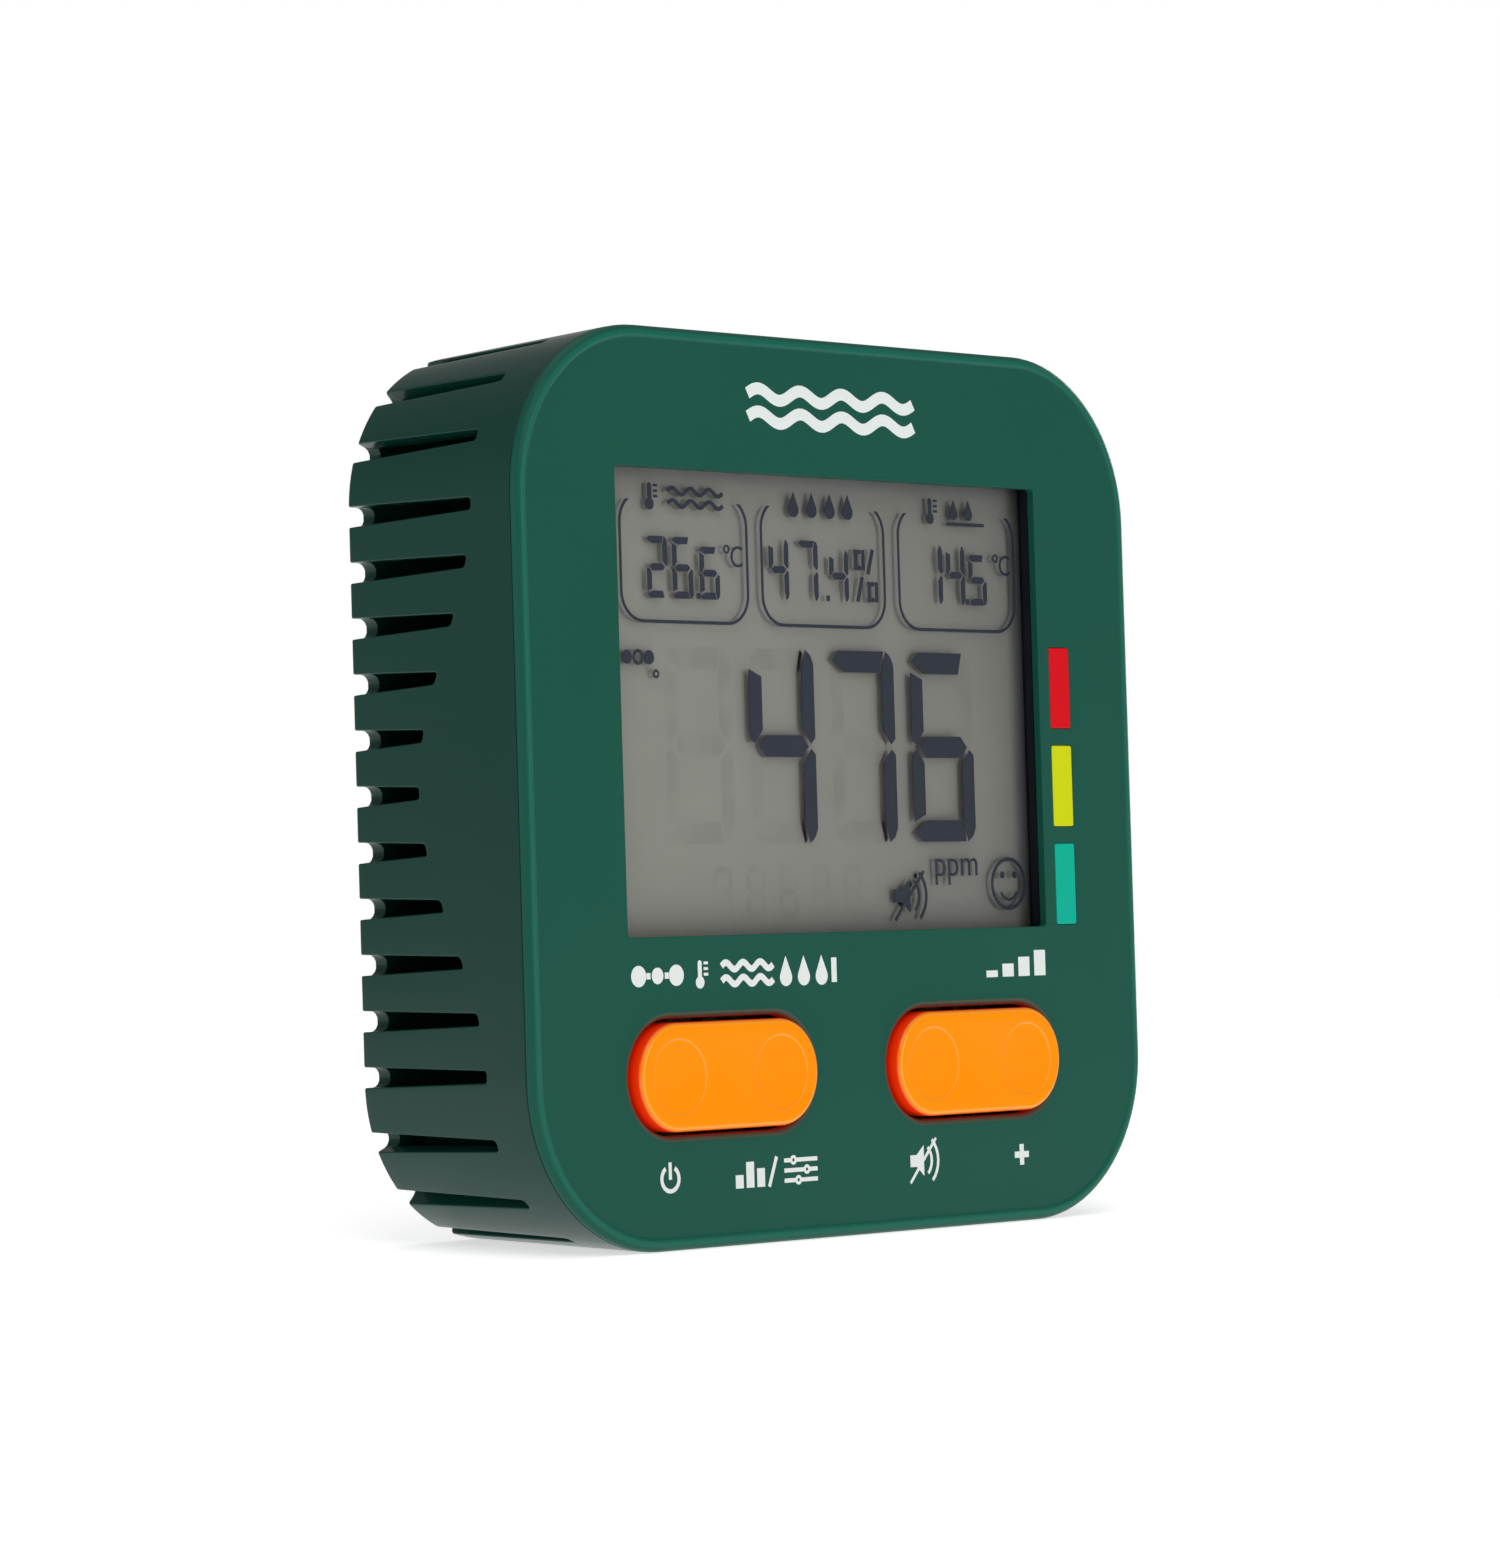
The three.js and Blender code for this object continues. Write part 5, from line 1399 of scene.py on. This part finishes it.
def makeLights():
    for name, settings in lights.items():
        if not isinstance(settings, dict):
            continue
        data = bpy.data.lights.new(name + " light", "AREA")
        data.shape, data.size, data.energy = "DISK", settings["size"], settings["power"]
        if "tall" in settings:
            data.shape, data.size_y = "RECTANGLE", settings["tall"]
        lamp = bpy.data.objects.new(name + " light", data)
        lamp.location = settings["place"]
        lamp.visible_camera = False
        aim = Vector((0, 0, 0.06)) - lamp.location
        lamp.rotation_euler = aim.to_track_quat("-Z", "Y").to_euler()
        bpy.context.scene.collection.objects.link(lamp)
    world = bpy.data.worlds.new("white studio")
    bpy.context.scene.world = world
    world.use_nodes = True
    nodes, links = world.node_tree.nodes, world.node_tree.links
    background = nodes["Background"]
    background.inputs["Color"].default_value = grey(1)
    rays, place, split = (nodes.new("ShaderNode" + kind) for kind in ("LightPath", "TexCoord", "SeparateXYZ"))
    rising, level = nodes.new("ShaderNodeMapRange"), nodes.new("ShaderNodeMapRange")
    links.new(place.outputs["Generated"], split.inputs[0])
    links.new(split.outputs["Z"], rising.inputs["Value"])
    for key, value in {"From Min": -0.15, "From Max": 0.45, "To Min": lights["below"],
                       "To Max": lights["above"]}.items():
        rising.inputs[key].default_value = value
    links.new(rising.outputs["Result"], level.inputs["To Min"])
    level.inputs["To Max"].default_value = lights["backdrop"]
    links.new(rays.outputs["Is Camera Ray"], level.inputs["Value"])
    links.new(level.outputs["Result"], background.inputs["Strength"])


def makeFloor():
    finish = Finish("studio floor")
    fine = finish.noise(60, 2, 0.5)
    material = finish.done(colour=finish.blend(fine, grey(0.9), grey(0.92)), roughness=0.9, specular=0.0,
                           glow=grey(1), glowStrength=0.6)
    bm = bmesh.new()
    bmesh.ops.create_circle(bm, cap_ends=True, segments=96, radius=0.8)
    mesh = bpy.data.meshes.new("studio_floor")
    bm.to_mesh(mesh)
    bm.free()
    mesh.materials.append(material)
    floor = bpy.data.objects.new("studio_floor", mesh)
    bpy.context.scene.collection.objects.link(floor)


makeCamera()
makeLights()
makeFloor()
bpy.context.scene.view_settings.view_transform = "Standard"
print("studio set")
